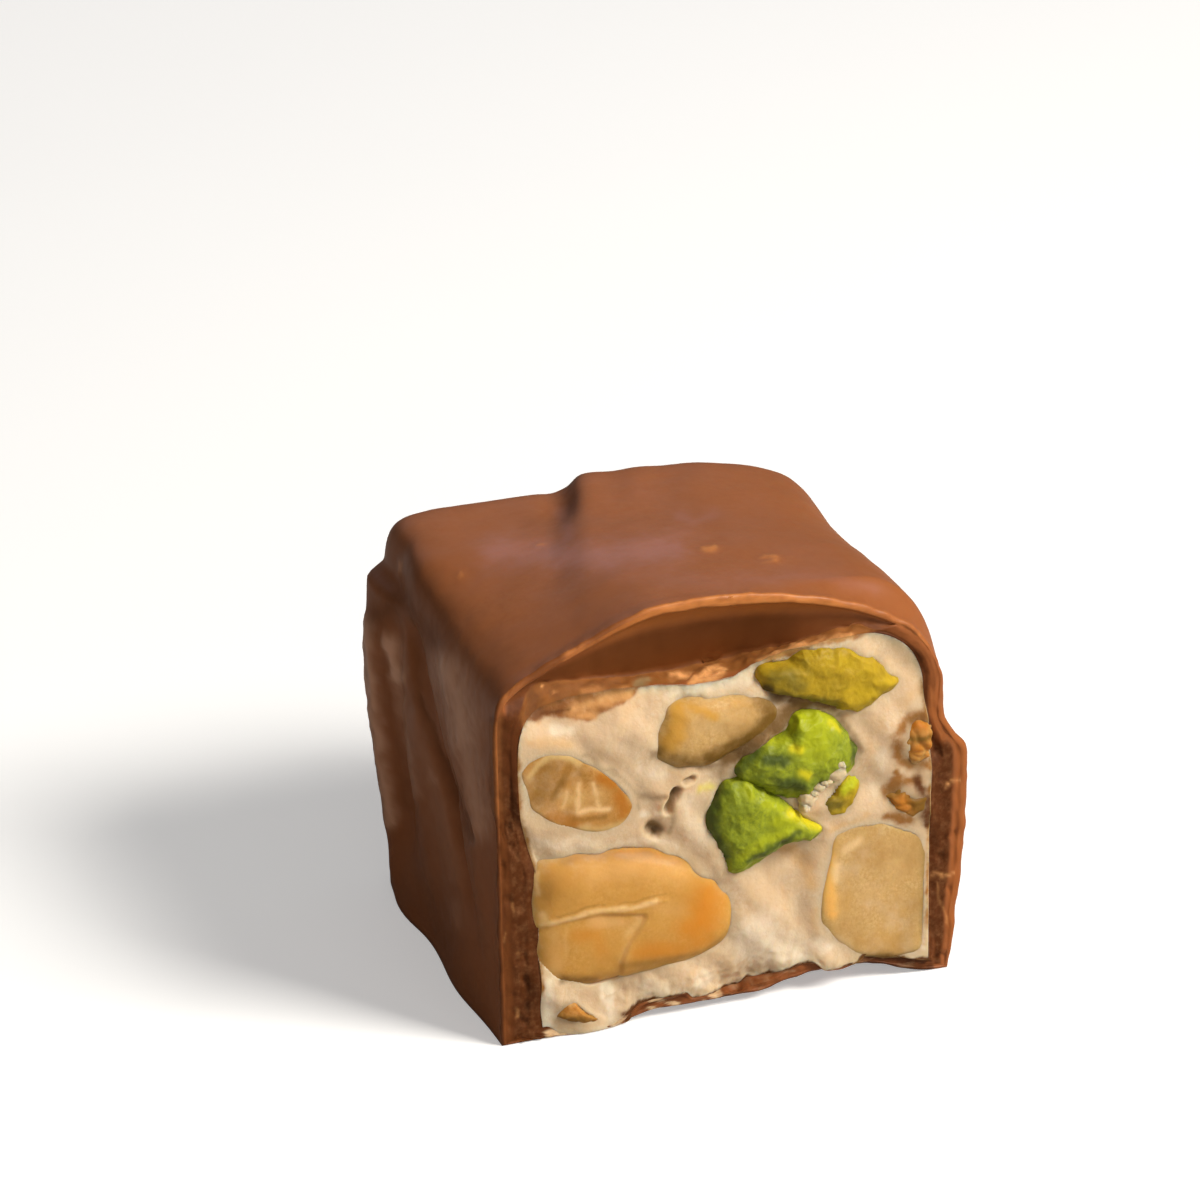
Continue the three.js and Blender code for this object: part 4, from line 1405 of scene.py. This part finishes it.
    def block(self) -> Piece:
        """A grid that faces the cut, with its border drawn back row by row and closed."""
        piece = begin("nougat_body", bpy.ops.mesh.primitive_grid_add, x_subdivisions=self.across,
                      y_subdivisions=self.up, size=2.0, rotation=(np.pi / 2, 0.0, 0.0))
        bpy.ops.mesh.select_all(action="SELECT")
        bpy.ops.mesh.region_to_loop()
        bpy.ops.mesh.mark_sharp()
        for _ in self.rows:
            bpy.ops.mesh.extrude_region_move(TRANSFORM_OT_translate={"value": (0.0, 1.0, 0.0)})
        bpy.ops.mesh.edge_face_add()
        bpy.ops.mesh.select_all(action="SELECT")
        bpy.ops.mesh.normals_make_consistent(inside=False)
        close_edit()
        return piece

    def build(self, nuts: list[NutForm], material: Material) -> Piece:
        """Models, moulds and dresses the filling.

        Args:
            nuts: The nuts that it leaves pockets for.
            material: Its finish.

        Returns:
            The filling.
        """
        piece = self.block()
        a, row, c = read_points(piece).T
        depths = np.array([0.0, *self.rows])[np.rint(row).astype(int)]
        shrink = 1.0 - self.margin / 13.0
        x, z = BAR.filling_section(a, c, depths)
        x, z = x * shrink, mix(12.5, z, shrink)
        face = BAR.face(x, z) + BAR.torn(x, z)
        points = np.stack([x, BAR.cut + face, z], axis=1)
        inner = 1.0 - rise(np.maximum(np.abs(a), np.abs(c)), 0.97, 1.0)
        behind, shade = self.open_pockets(x, face + inner * self.relief(points), z, nuts)
        border = 13.0 * (1.0 - np.maximum(np.abs(a), np.abs(c)))
        end = 2.0 * BAR.half_length - BAR.end_wall - self.margin
        deep = np.where(row < 0.5, behind, np.minimum(np.maximum(depths, face + 0.3), end))
        write_points(piece, BAR.place(np.stack([x, BAR.cut + deep, z], axis=1)))
        finish_piece(piece, self.stains(points, shade, border), material, Slot.NOUGAT, "nougat")
        return piece

    def relief(self, points: Array) -> Array:
        """How far the face lies behind its plain form: torn lumps at the foot and air holes."""
        x, _, z = points.T
        lumps = self.grain.at(points, (0.9, 1.0, 1.1), 3)
        height = 0.16 * bump(z - 2.0, 1.6) * band(x, -8.0, 9.0, 1.5) * lumps
        seen_x, seen_z = onto_cut(points)
        wobble = 0.30 * self.grain.at(points, 0.6, 2)
        for hole in self.holes:
            gap = to_line(seen_x, seen_z, hole.line) / hole.width + wobble
            height += hole.deep * (1.0 - rise(gap, 0.1, 1.7)) - 0.03 * bump(gap - 2.0, 0.6)
        return height + 0.4 * bump(x + 9.8, 3.0) * bump(z - 12.5, 1.2)

    def open_pockets(self, x: Array, behind: Array, z: Array, nuts: list[NutForm]) -> tuple[Array, Array]:
        """Sinks the face round and under each nut.

        Args:
            x: Places across the bar.
            behind: How far the face lies behind the cut.
            z: Heights.
            nuts: The nuts.

        Returns:
            The new depths, and the shade round the nuts.
        """
        shade = np.zeros(len(x))
        uneven = 0.7 + 0.6 * self.grain.at(np.stack([x, behind, z], axis=1), 1.5, 2)
        for nut in nuts:
            gap = self.gap(nut, x, behind, z)
            if nut.face is not None:
                behind = mix(behind, 0.06 - nut.face, bump(np.maximum(gap, 0.0), 0.9))
            behind = behind - nut.collar * uneven * bump(np.maximum(gap, 0.0), 0.6)
            edge = -0.10 if nut.face is None else -0.18
            sunk = 1.0 - rise(self.gap(nut, x, behind, z), edge - 0.25, edge)
            behind = mix(behind, nut.depth + 0.9 * nut.reach, sunk)
            shade = np.maximum(shade, nut.shade * bump(np.maximum(gap, 0.0), 0.35))
        return behind, shade

    def gap(self, nut: NutForm, x: Array, behind: Array, z: Array) -> Array:
        """How far places on the face lie from a nut's skin, less than 0 inside it."""
        open_at = behind if nut.face is None else np.maximum(behind, 0.1 - nut.face)
        return (nut.body(*nut.local(x, BAR.cut + open_at, z)) - 1.0) * nut.half_size

    def stains(self, points: Array, shade: Array, border: Array) -> Marks:
        """The marks of smears, shade, clean torn places and painted light.

        Args:
            points: The face, without its fine relief.
            shade: The shade round the nuts.
            border: How far each place lies from the coating.

        Returns:
            The strength of each mark.
        """
        x, _, z = points.T
        marks = paint(points, self.strokes + LEDGE_STROKES, self.grain)
        ragged = 0.25 * self.grain.at(points, 0.8, 3)
        seen_x, seen_z = onto_cut(points)
        for hole in self.holes:
            gap = to_line(seen_x, seen_z, hole.line) / hole.width + 1.2 * ragged
            marks["shade"] = np.maximum(marks["shade"], 1.1 * hole.deep * (1.0 - rise(gap, 0.3, 1.9)))
        marks["shade"] = np.maximum(marks["shade"], shade)
        marks["ledge"] = BAR.smeared(points, ragged) * (1.0 - rise(x, 8.5, 10.5))
        for name in ("mauve", "fringe", "dun"):
            over = rise(seen_z - trace(seen_x, BAR.cream_line, 0.3) + ragged, -0.6, 0.2)
            marks[name] = marks[name] * np.where(seen_z > 20.0, over, 1.0)
        at_wall = bump(np.maximum(border + 0.6 * ragged, 0.0), 0.22)
        marks["toast"] = np.maximum(marks["toast"], 0.8 * at_wall * band(z, 4.0, 20.5, 1.5))
        foot = z - BAR.foot_arch(x) - BAR.foot_layer(x) + 0.8 * ragged
        marks["dark"] = np.maximum(marks["dark"], (1.0 - rise(foot, 0.0, 0.25)) * band(x, -7.0, 14.0, 0.5))
        return marks


# ---- Nuts ---------------------------------------------------------------------------------


@dataclass
class NutPiece:
    """A nut at the cut: a ball drawn out to its form, with its own unevenness and strokes of colour."""

    form: NutForm
    slot: Slot
    strokes: tuple[Stroke, ...]
    cells: int = 56
    lump: float = 0.10
    lump_size: float = 2.2
    seed: int = 5

    def relief(self, points: Array, grain: Grain) -> Array:
        """How far each point stands out from the plain form."""
        return self.lump * grain.at(points, self.lump_size, 3) - 0.4 * self.lump

    def marks(self, points: Array, grain: Grain) -> Marks:
        """The marks that the finish reads."""
        marks = paint(points, self.strokes, grain, 0.12)
        x, y, z = points.T
        rim = y - BAR.cut - BAR.face(x, z) + 0.35 * grain.at(points, 0.9, 3)
        marks["cream"] = self.form.blend * rise(rim, -0.5, 0.3)
        return marks

    def build(self, material: Material) -> Piece:
        """Models, moulds and dresses the nut."""
        piece = make_ball(f"{self.form.name}_piece", self.cells)
        grain = Grain(self.seed)
        way = read_points(piece)
        way /= np.linalg.norm(way, axis=1, keepdims=True)
        middle = (self.form.middle[0], BAR.cut + self.form.depth, self.form.middle[1])
        points = way / self.form.fill(*way.T)[:, None] + middle
        write_points(piece, points)
        moved = points + read_normals(piece) * self.relief(points, grain)[:, None]
        write_points(piece, BAR.place(moved))
        finish_piece(piece, self.marks(points, grain), material, self.slot, self.form.name)
        return piece


class LongAlmond(NutPiece):
    """The large almond at the lower left, with a flat chip out of its left half and a seam above it."""

    SEAM = pairs(-12.5, 8.3, -10.9, 8.4, -9.6, 8.6, -8, 8.55, -6.5, 8.45, -5.4, 8.6, -4.2, 8.5)

    def chip(self, points: Array) -> Array:
        """1 on the flat chip, 0 outside."""
        x, z = onto_cut(points)
        under_seam = 1.0 - rise(z - np.interp(x, [-13, -11, -8.6, -5.6], [8.0, 8.1, 8.2, 7.7]), -0.2, 0.2)
        edge = np.interp(z, [3.4, 4.6, 5.6, 6.7, 7.4], [-7.3, -7.2, -6.8, -6.0, -5.6])
        return under_seam * (1.0 - rise(x - edge, -0.2, 0.2))

    def relief(self, points: Array, grain: Grain) -> Array:
        """Soft lumps, the sunk chip and the raised seam."""
        plain = super().relief(points, grain)
        crumbly = 0.5 + 0.5 * grain.at(points, 0.5, 2)
        seam = bump(to_line(*onto_cut(points), self.SEAM), 0.16) * (0.01 + 0.07 * crumbly)
        return plain - 0.16 * self.chip(points) + seam


class RightAlmond(NutPiece):
    """The blunt pale almond at the right wall, with a glossy strip down its left edge."""

    STRIP = pairs(7, 10.6, 6.8, 9.7, 6.7, 8.4, 6.9, 7.1, 7.1, 5.5)

    def relief(self, points: Array, grain: Grain) -> Array:
        """Soft lumps and the raised strip."""
        return super().relief(points, grain) + 0.10 * bump(to_line(*onto_cut(points), self.STRIP), 0.7)


class Pistachio(NutPiece):
    """A chopped pistachio: bright inside, with what is left of its dark skin and painted shade along some of
    its edges.
    """

    def relief(self, points: Array, grain: Grain) -> Array:
        """Soft lumps and chopped facets."""
        ridges = 1.0 - np.abs(grain.at(points, 2.0, 2))
        small = 1.0 - np.abs(grain.at(points + 9.1, 0.8, 2))
        return self.lump * (2.4 * (ridges - 0.8) + 0.7 * (small - 0.7))


class Crumb(NutPiece):
    """A small roasted bit at the cut, of several lumps."""

    def relief(self, points: Array, grain: Grain) -> Array:
        """Rounded lumps with creases between them."""
        creases = np.abs(grain.at(points, self.lump_size, 2))
        return self.lump * (1.6 * creases - 0.6)


NUTS = (
    LongAlmond(
        NutForm("almond_long", pairs(
            -13.1, 11.6, -12.4, 12.45, -10.8, 12.8, -7.8, 12.65, -5.4, 12.15, -3, 11.2, -0.8, 9.6,
            0.15, 7.7, 0.4, 6.1, -0.1, 5, -1, 4.4, -2.4, 4, -3.9, 3.75, -7.1, 3.55, -9.4, 3.2, -12, 3.7,
            -13.1, 4.6,
        ), 3.0, 3.9, 4.0, collar=0.10, shade=0.12, blend=0.45),
        Slot.TOASTED,
        strokes_of(
            pale=(
                (1.1, 0.5, -9, 11.2, -6, 11, -3.4, 10.2), (0.8, 0.4, -4.6, 8, -3.4, 7.6),
                (0.7, 0.55, -11.8, 7.4, -11.7, 4.8), (0.5, 0.7, -9.2, 7.7, -7.2, 7.4),
            ),
            warm=(
                (1.5, 0.72, -1.5, 8, -1.6, 6.8, -2.4, 6), (0.5, 0.45, -10.4, 12.6, -6, 12.4, -2.6, 11.2),
                (0.8, 0.6, -6, 5.2, -3.6, 4.9, -1.6, 5.2), (0.7, 0.45, -10.2, 6.9, -8.9, 6.8, -8.6, 5.6),
            ),
            bright=(
                # The first two strokes are painted highlight on the lit edge of the chip.
                (0.34, 0.32, -5.8, 7.4, -6.3, 6.6, -6.9, 5.6, -7.2, 4.6), (0.5, 0.45, -6.1, 7.4, -6.7, 6.4),
                (0.22, 0.25, -10.9, 7.6, -11, 5.6),
                (0.24, 0.8, -12.5, 8.2, -10.9, 8.3, -9.4, 8.5, -7, 8.4, -5, 8.5),
                (0.22, 0.7, -12.9, 11.9, -12.8, 10.3), (0.32, 0.7, -12.5, 8.9, -12.4, 8.5),
            ),
            dark=(
                (0.7, 0.4, -12.1, 11.3, -12.1, 10.2),
                (0.55, 0.5, -11, 12.6, -8, 12.4, -5, 11.9, -2.6, 10.9),
                (0.11, 0.45, -11.6, 8.65, -10.4, 8.75, -9.6, 8.9, -8.4, 8.9),
                # The strokes from -11.2, 3.9 on are painted shade along the almond's lower edge.
                (0.1, 0.4, -7.4, 8.8, -5.4, 8.9, -4.2, 8.9), (0.42, 0.8, -11.2, 3.9, -9.2, 3.5),
                (0.36, 0.45, -6.9, 4.3, -4.1, 4.2, -1.5, 4.3, 0.1, 5.3),
            ),
        ),
        cells=84, lump=0.07, lump_size=3.5, seed=31,
    ),
    NutPiece(
        NutForm("almond_left", pairs(
            -13.9, 19, -13.2, 19.9, -12.2, 20.2, -10.5, 19.8, -8.8, 18.7, -7.4, 17.4, -6.4, 16.1,
            -6.2, 15.2, -7, 14.2, -8.3, 13.9, -9.8, 14.3, -11.4, 14.9, -13.2, 16.4,
        ), 2.6, 3.4, 4.0, face=0.15, collar=0.0, shade=0.12, blend=0.4),
        Slot.ROASTED,
        strokes_of(
            dark=(
                (1, 0.5, -11.8, 18.9, -12.5, 17.2), (0.42, 0.55, -10.5, 18.9, -11.1, 17.9, -11.7, 16.9),
                (0.45, 0.35, -9.9, 18.7, -9.4, 17.9), (0.25, 0.5, -10.2, 15.2, -8.2, 15),
            ),
            pale=(
                (0.26, 0.95, -13.1, 18.6, -12.6, 19.4, -11.7, 19.85, -10.7, 19.55, -9.9, 19),
                (0.36, 0.7, -9.8, 14.5, -8.4, 14.2, -6.9, 14.4), (0.8, 0.45, -10.4, 16.7, -8.6, 16.5),
                (0.22, 0.45, -9.2, 18.9, -7.4, 17.2, -6.4, 15.8),
            ),
            warm=(
                (0.55, 0.85, -8.4, 17.9, -7.7, 17.2), (0.55, 0.9, -7.2, 16.4, -6.9, 15.2),
                (0.55, 0.5, -11.8, 15.7, -10.2, 14.9),
            ),
            bright=(
                (0.22, 0.5, 1.4, -10.7, 17.2, -11, 16.1), (0.24, 0.65, 1.4, -9.9, 17.6, -10, 15.9),
                (0.24, 0.65, 1.4, -9, 17.5, -8.6, 15.8), (0.26, 0.75, 1.4, -10, 15.7, -9, 15.7, -8, 15.5),
            ),
        ),
        cells=64, lump=0.04, seed=32,
    ),
    NutPiece(
        NutForm("almond_upper", pairs(
            -5, 18.4, -4.5, 20.4, -3.7, 21.7, -1.9, 22.1, 0.3, 21.9, 2.1, 21.8, 3.8, 20.9, 3.6, 19.6,
            1.8, 18.6, 0, 18, -1.4, 17.4, -3.7, 17.7,
        ), 2.5, 3.2, 4.0, collar=0.12, shade=0.10, blend=0.8),
        Slot.PALE,
        strokes_of(
            warm=(
                (0.75, 1, -3.2, 21.7, -3.3, 20.8, -3.4, 20, -4, 19.3),
                (0.42, 0.8, -2.4, 21.7, -1.5, 21.3, -0.8, 20.8), (0.4, 0.4, 0.4, 21.5, 1.6, 21.2),
            ),
            # Painted shade: along the almond's lower edge, under it and at its right end.
            dark=(
                (0.7, 0.62, -4.6, 18.9, -4.1, 18.5, -2.9, 18), (0.6, 0.55, -2.9, 17.9, -1.4, 17.7),
                (0.8, 0.95, -1.1, 17.8, 0.5, 18.2, 1.9, 19.1, 3.4, 20.2),
                (1.1, 0.75, 2.4, 21.5, 2.9, 20.8, 3.6, 20.4),
            ),
            pale=((1, 0.3, -1.6, 20.2, 0.4, 20.3),),
        ),
        cells=60, lump=0.08, seed=33,
    ),
    RightAlmond(
        NutForm("almond_right", pairs(
            6.1, 4.8, 6.2, 7.2, 6.8, 9.5, 7.2, 11.5, 8.7, 12, 10.8, 11.8, 13.2, 10.6, 13.7, 9, 13.7, 5.2,
            13.6, 1.5, 11.7, 1.4, 8.6, 2.1, 7.3, 3.3,
        ), 2.4, 3.2, 5.0, face=0.3, collar=0.0, shade=0.05, blend=0.5),
        Slot.PALE,
        strokes_of(
            bright=((0.55, 0.8, 6.9, 10.4, 6.8, 9.6, 6.6, 8.4, 6.9, 7.1, 7.1, 5.6),),
            pale=(
                # The first two strokes are painted highlight on the glossy strip.
                (0.4, 0.9, 7.3, 8.8, 7.3, 7.9), (0.4, 0.7, 8, 9.8, 8.9, 10.4),
                (1.3, 0.25, 10, 6.5, 12, 8.6),
            ),
            warm=((0.3, 0.25, 8.3, 8.2, 8.2, 5.6), (0.9, 0.3, 9.6, 3.2, 11.6, 2.9)),
            dark=(
                (0.55, 0.45, 13.6, 11, 13.6, 3), (0.35, 0.7, 8.4, 2, 11, 1.6, 13.6, 1.3),
                (1, 0.26, 12.8, 4.8, 12.2, 2.4),
            ),
        ),
        cells=64, lump=0.06, lump_size=3.0, seed=34,
    ),
    Pistachio(
        NutForm("pistachio_olive", pairs(
            2.4, 23.3, 3.4, 23.7, 4.1, 23.2, 5.2, 24.3, 6.8, 24.5, 8.4, 24.1, 9.4, 23.5, 10.2, 22.9,
            10.9, 21.8, 11.8, 21.2, 11, 20.5, 10, 20, 9, 19.5, 8.1, 19.7, 6.4, 20.5, 4.8, 21.2, 3.2, 21.6,
            2.4, 22.2,
        ), 1.6, 2.4, 4.0, shade=0.15, soften=3.5),
        Slot.OLIVE,
        strokes_of(
            dark=(
                (0.75, 0.65, 3.2, 22.9, 4.2, 22.8, 4.8, 22),
                # The first stroke on this line is painted shadow along the pistachio's lower edge.
                (0.4, 0.85, 3.4, 21.6, 4.6, 21.2, 6.2, 20.6, 7.4, 20.2), (0.35, 0.35, 5.2, 23.6, 5.6, 22.6),
            ),
            spot=((0.32, 0.9, 2.5, 22.2, 2.9, 22),),
            pale=(
                (0.7, 0.6, 7.2, 23.4, 8.6, 22.9, 9.6, 22.2), (0.6, 0.8, 8.4, 20.9, 9.6, 20.7),
                (0.4, 0.7, 10.2, 21.4, 11.2, 21.3),
            ),
        ),
        cells=76, lump=0.10, seed=35,
    ),
    Pistachio(
        NutForm("pistachio_upper", pairs(
            2.3, 18.8, 3.8, 19.1, 4.7, 20.3, 6.1, 20.2, 7.2, 19.4, 7.8, 18.7, 8.9, 17.1, 8.6, 15.8,
            7.3, 14.8, 6.2, 15.1, 5.2, 13.9, 3.8, 14.3, 2, 15.4, 0.6, 16.3, 0.1, 16.9, 0.9, 17.8,
        ), 1.3, 2.7, 3.0, shade=0.2, soften=3.5),
        Slot.GREEN,
        strokes_of(
            pale=(
                (1.25, 1, 5.2, 19.6, 6.4, 19, 5.8, 17.9), (0.5, 0.6, 4, 18.4, 3.2, 18.4),
                (0.4, 0.9, 2.6, 19, 2.9, 18.6), (0.7, 0.6, 5.4, 16.9, 6.6, 16.9),
            ),
            bright=(
                (0.4, 0.75, 4.4, 17.7, 4.9, 17.5), (0.26, 0.7, 6.9, 19.1, 7.5, 18.5),
                (0.36, 0.75, 5, 15.9, 5.4, 15.7),
            ),
            dark=(
                # Partly dark skin, partly painted shade on the left side and along the right edge.
                (0.6, 0.75, 0.4, 16.6, 1.2, 17.2, 2, 17.8), (0.5, 0.9, 2.6, 17.2, 3.8, 16.9),
                (0.45, 0.6, 3.2, 16, 3.5, 15.6), (0.62, 0.95, 3.9, 15.2, 4.7, 14.9),
                (0.36, 0.8, 7.7, 19, 8.5, 17.9, 8.8, 17, 8.5, 16),
            ),
        ),
        cells=84, lump=0.13, seed=36,
    ),
    Pistachio(
        NutForm("pistachio_lower", pairs(
            -1.5, 13.4, -1.3, 14.9, -0.3, 16.2, 0.9, 16.5, 2.3, 15.4, 3.8, 14.3, 4.6, 13.6, 5.2, 12.8,
            6.6, 11.8, 6.2, 11.1, 3.7, 11.2, 2, 10.1, 0.2, 9.5, -0.3, 9.7, -0.9, 11.3,
        ), 1.3, 2.7, 3.0, shade=0.2, soften=3.5),
        Slot.GREEN,
        strokes_of(
            dark=(
                # Painted shade on the left side and along the lower edge, with dark skin.
                (0.7, 0.95, -0.9, 15.4, -1.2, 13.2, -0.6, 11), (0.4, 0.35, 0.2, 14.6, 0.4, 13),
                (0.26, 0.75, 1.4, 10.2, 3.2, 11, 4.8, 11.7),
            ),
            pale=(
                (0.35, 0.8, 1.2, 15.6, 1.6, 14.8), (0.45, 0.8, 0.8, 10.6, 2.4, 11.6, 4.4, 12),
                (0.4, 0.9, 2.6, 14.1, 3.6, 13.6), (0.7, 0.8, 3.4, 12.8, 4.8, 12.6),
            ),
            bright=((0.52, 0.9, 4.4, 13.2, 5.2, 12.6, 6.3, 12),),
        ),
        cells=84, lump=0.11, seed=37,
    ),
    Pistachio(
        NutForm("pistachio_chip", pairs(
            5.7, 13.3, 7.2, 14, 7.6, 15, 8.3, 15.4, 9, 14.3, 8.5, 13.2, 7.9, 12.5, 6.4, 12.5,
        ), 0.9, 1.4, 3.0, shade=0.3, soften=4.0),
        Slot.OLIVE,
        strokes_of(
            dark=((0.7, 0.8, 6.2, 13.4, 7.4, 13.2),),
            lime=((0.5, 1, 8.6, 14.8, 7.9, 14.3),),
        ),
        cells=36, lump=0.12, seed=38,
    ),
    Crumb(
        NutForm("crumb_upper_right", pairs(
            11.6, 17.2, 12.4, 18.1, 13.3, 18.3, 14, 17.6, 14, 16.4, 13.8, 15.5, 13, 15, 11.9, 15.8,
        ), 1.1, 1.6, 3.0, shade=0.4, soften=4.0, blend=0.5),
        Slot.ROASTED,
        strokes_of(
            warm=((0.6, 0.9, 12.4, 17.8, 13.4, 18), (0.5, 0.7, 12.6, 16, 13.6, 16.2)),
            dark=((0.25, 0.9, 12, 17, 13, 16.8, 13.8, 16.9), (0.3, 0.6, 12.2, 15.6, 12, 16.4)),
            pale=((0.3, 0.7, 12.8, 17.7), (0.25, 0.6, 13.4, 15.9)),
        ),
        cells=36, lump=0.22, lump_size=1.3, seed=39,
    ),
    Crumb(
        NutForm("crumb_lower_right", pairs(
            10.8, 13.2, 12, 13.8, 13.5, 13.3, 13.7, 12.2, 13.4, 11.4, 12.6, 11.2, 11.2, 12.1,
        ), 0.9, 1.4, 3.0, shade=0.4, soften=4.0),
        Slot.ROASTED,
        strokes_of(
            warm=((1, 0.9, 10.9, 12.4, 13.6, 12.6),),
            dark=((0.75, 0.95, 12.7, 13.7, 13.3, 11.8), (0.55, 0.8, 11, 13.2, 12, 13.6)),
            pale=((0.35, 0.6, 11.6, 12.4),),
        ),
        cells=36, lump=0.20, lump_size=1.2, seed=40,
    ),
    Crumb(
        NutForm("chip_bottom_left", pairs(
            -11.9, 1.5, -11.4, 2.6, -10.6, 2.4, -9.7, 1.4, -8.7, 0.75, -9.3, 0.6, -10.6, 0.8,
        ), 0.9, 1.4, 3.0, shade=0.3, soften=4.0),
        Slot.ROASTED,
        strokes_of(
            warm=((0.6, 0.5, -11.4, 2, -10, 1.6),),
            dark=((0.35, 0.7, -11.6, 1.2, -10, 1, -8.8, 0.7),),
            pale=((0.3, 0.6, -10.8, 2.3),),
        ),
        cells=36, lump=0.10, lump_size=1.2, seed=41,
    ),
)
CRUMB_SPOTS = (
    (7.1, 15.6, 0.68, 0.56), (7.5, 16.1, 0.36, 0.36), (6.6, 15.0, 0.34, 0.24), (6.2, 14.7, 0.42, 0.24),
    (5.8, 14.4, 0.26, 0.20), (5.4, 14.0, 0.46, 0.42), (5.2, 13.5, 0.28, 0.30),
)


NUT_FINISHES = {
    Slot.TOASTED: TOASTED, Slot.ROASTED: ROASTED, Slot.PALE: PALE, Slot.OLIVE: OLIVE, Slot.GREEN: GREEN,
}


@dataclass
class NougatCrumbs:
    """Small crumbs of filling that cling to the pistachios, joined into one piece."""

    spots: tuple[tuple[float, float, float, float], ...] = CRUMB_SPOTS
    proud: float = 0.80
    cells: int = 16
    seed: int = 51

    def build(self, material: Material) -> Piece:
        """Models, joins and dresses the crumbs."""
        grain = Grain(self.seed)
        crumbs = []
        for index, (x, z, width, height) in enumerate(self.spots):
            crumb = make_ball(f"nougat_crumb_{index}", self.cells)
            way = read_points(crumb)
            lumpy = 1.0 + 0.26 * grain.at(way + 7.0 * index, 1.4, 2)
            points = way * (width, 0.35, height) * lumpy[:, None]
            at = (x - SLANT[0] * self.proud, BAR.cut - self.proud, z + SLANT[1] * self.proud)
            write_points(crumb, BAR.place(points + at))
            crumbs.append(crumb)
        select(*crumbs)
        bpy.ops.object.join()
        piece = crumbs[0]
        piece.name = piece.data.name = "nougat_crumbs"
        marks = {"tint": np.full(len(piece.data.vertices), 0.10)}
        finish_piece(piece, marks, material, Slot.NOUGAT)
        return piece


# ---- Studio -------------------------------------------------------------------------------


@dataclass
class Studio:
    """Floor, camera and lights, none of them part of the object."""

    target: Triple = (-0.77, 9.87, 19.64)
    distance: float = 335.21
    azimuth: float = -18.28
    elevation: float = 23.31
    roll: float = -1.18
    lens: float = 150.0
    bounce: float = 0.4
    glow: float = 0.35

    def camera(self) -> None:
        """Sets the camera up."""
        azimuth, elevation = np.radians(self.azimuth), np.radians(self.elevation)
        level = np.cos(elevation)
        back = Vector((np.sin(azimuth) * level, -np.cos(azimuth) * level, np.sin(elevation)))
        right = Vector((0.0, 0.0, 1.0)).cross(back).normalized()
        turn = Matrix((right, back.cross(right), back)).transposed()
        turn = turn @ Matrix.Rotation(np.radians(self.roll), 3, "Z")
        data = bpy.data.cameras.new("camera")
        data.lens, data.sensor_width = self.lens, 36.0
        data.clip_start, data.clip_end = 0.01, 10.0
        camera = bpy.data.objects.new("camera", data)
        camera.matrix_world = turn.to_4x4()
        camera.location = (Vector(self.target) + back * self.distance) * MM
        bpy.context.scene.collection.objects.link(camera)
        bpy.context.scene.camera = camera

    def lamp(self, name: str, at: Triple, size: tuple[float, float], power: float, colour: Triple) -> None:
        """Adds a soft light that faces the half.

        Args:
            name: Its name.
            at: Its place, in metres.
            size: Its width and height, in metres.
            power: Its power in watts.
            colour: Its colour.
        """
        data = bpy.data.lights.new(name, "AREA")
        data.shape, data.size, data.size_y = "RECTANGLE", *size
        data.energy, data.color = power, colour
        lamp = bpy.data.objects.new(name, data)
        lamp.location = at
        lamp.rotation_euler = (Vector((0.0, 0.0, 0.012)) - Vector(at)).to_track_quat("-Z", "Y").to_euler()
        bpy.context.scene.collection.objects.link(lamp)

    def floor(self) -> None:
        """Adds the plain pale floor."""
        bpy.ops.object.select_all(action="DESELECT")
        bpy.ops.mesh.primitive_plane_add(size=6.0)
        floor = bpy.context.object
        floor.name = "floor"
        material = bpy.data.materials.new("floor_white")
        material.use_nodes = True
        board = Board(material.node_tree)
        where = board.add("ShaderNodeTexCoord").outputs["Object"]
        pale = board.remap(board.noise(where, 3.0), 0.3, 0.7, 0.84, 0.88)
        seen = board.add("ShaderNodeLightPath").outputs["Is Camera Ray"]
        tone = board.add("ShaderNodeMix", {0: seen, 2: self.bounce, 3: pale}).outputs[0]
        glow = board.math("MULTIPLY", seen, self.glow)
        surface = board.add("ShaderNodeBsdfPrincipled", {
            "Base Color": tone, "Roughness": 0.9, "Emission Color": WHITE, "Emission Strength": glow,
        })
        board.add("ShaderNodeOutputMaterial", {"Surface": surface.outputs["BSDF"]})
        floor.data.materials.append(material)

    def build(self) -> None:
        """Sets up the whole studio."""
        self.camera()
        self.floor()
        self.lamp("key", (0.32, -0.31, 0.40), (0.20, 0.20), 4.4, (1.0, 0.96, 0.89))
        self.lamp("sky", (0.04, 0.42, 0.22), (0.40, 0.12), 0.10, (0.78, 0.82, 1.0))
        self.lamp("front", (0.0, -0.55, 0.16), (0.4, 0.3), 0.5, (1.0, 0.94, 0.86))
        world = bpy.data.worlds.new("studio")
        world.use_nodes = True
        board = Board(world.node_tree)
        sky = board.add("ShaderNodeBackground", {"Color": (1.0, 0.95, 0.88, 1.0), "Strength": 0.15})
        board.add("ShaderNodeOutputWorld", {"Surface": sky.outputs["Background"]})
        bpy.context.scene.world = world
        bpy.context.scene.view_settings.view_transform = "Standard"


def main() -> None:
    """Builds and dresses the half, and sets up the studio."""
    logging.basicConfig(level=logging.INFO, format="%(name)s: %(message)s")
    effects = Effects()
    Studio().build()
    ChocolateCoating().build(CHOCOLATE.make(effects))
    cream = NOUGAT.make(effects)
    NougatFilling().build([nut.form for nut in NUTS], cream)
    NougatCrumbs().build(cream)
    finishes = {slot: finish.make(effects) for slot, finish in NUT_FINISHES.items()}
    for nut in NUTS:
        nut.build(finishes[nut.slot])


if __name__ == "__main__":
    main()
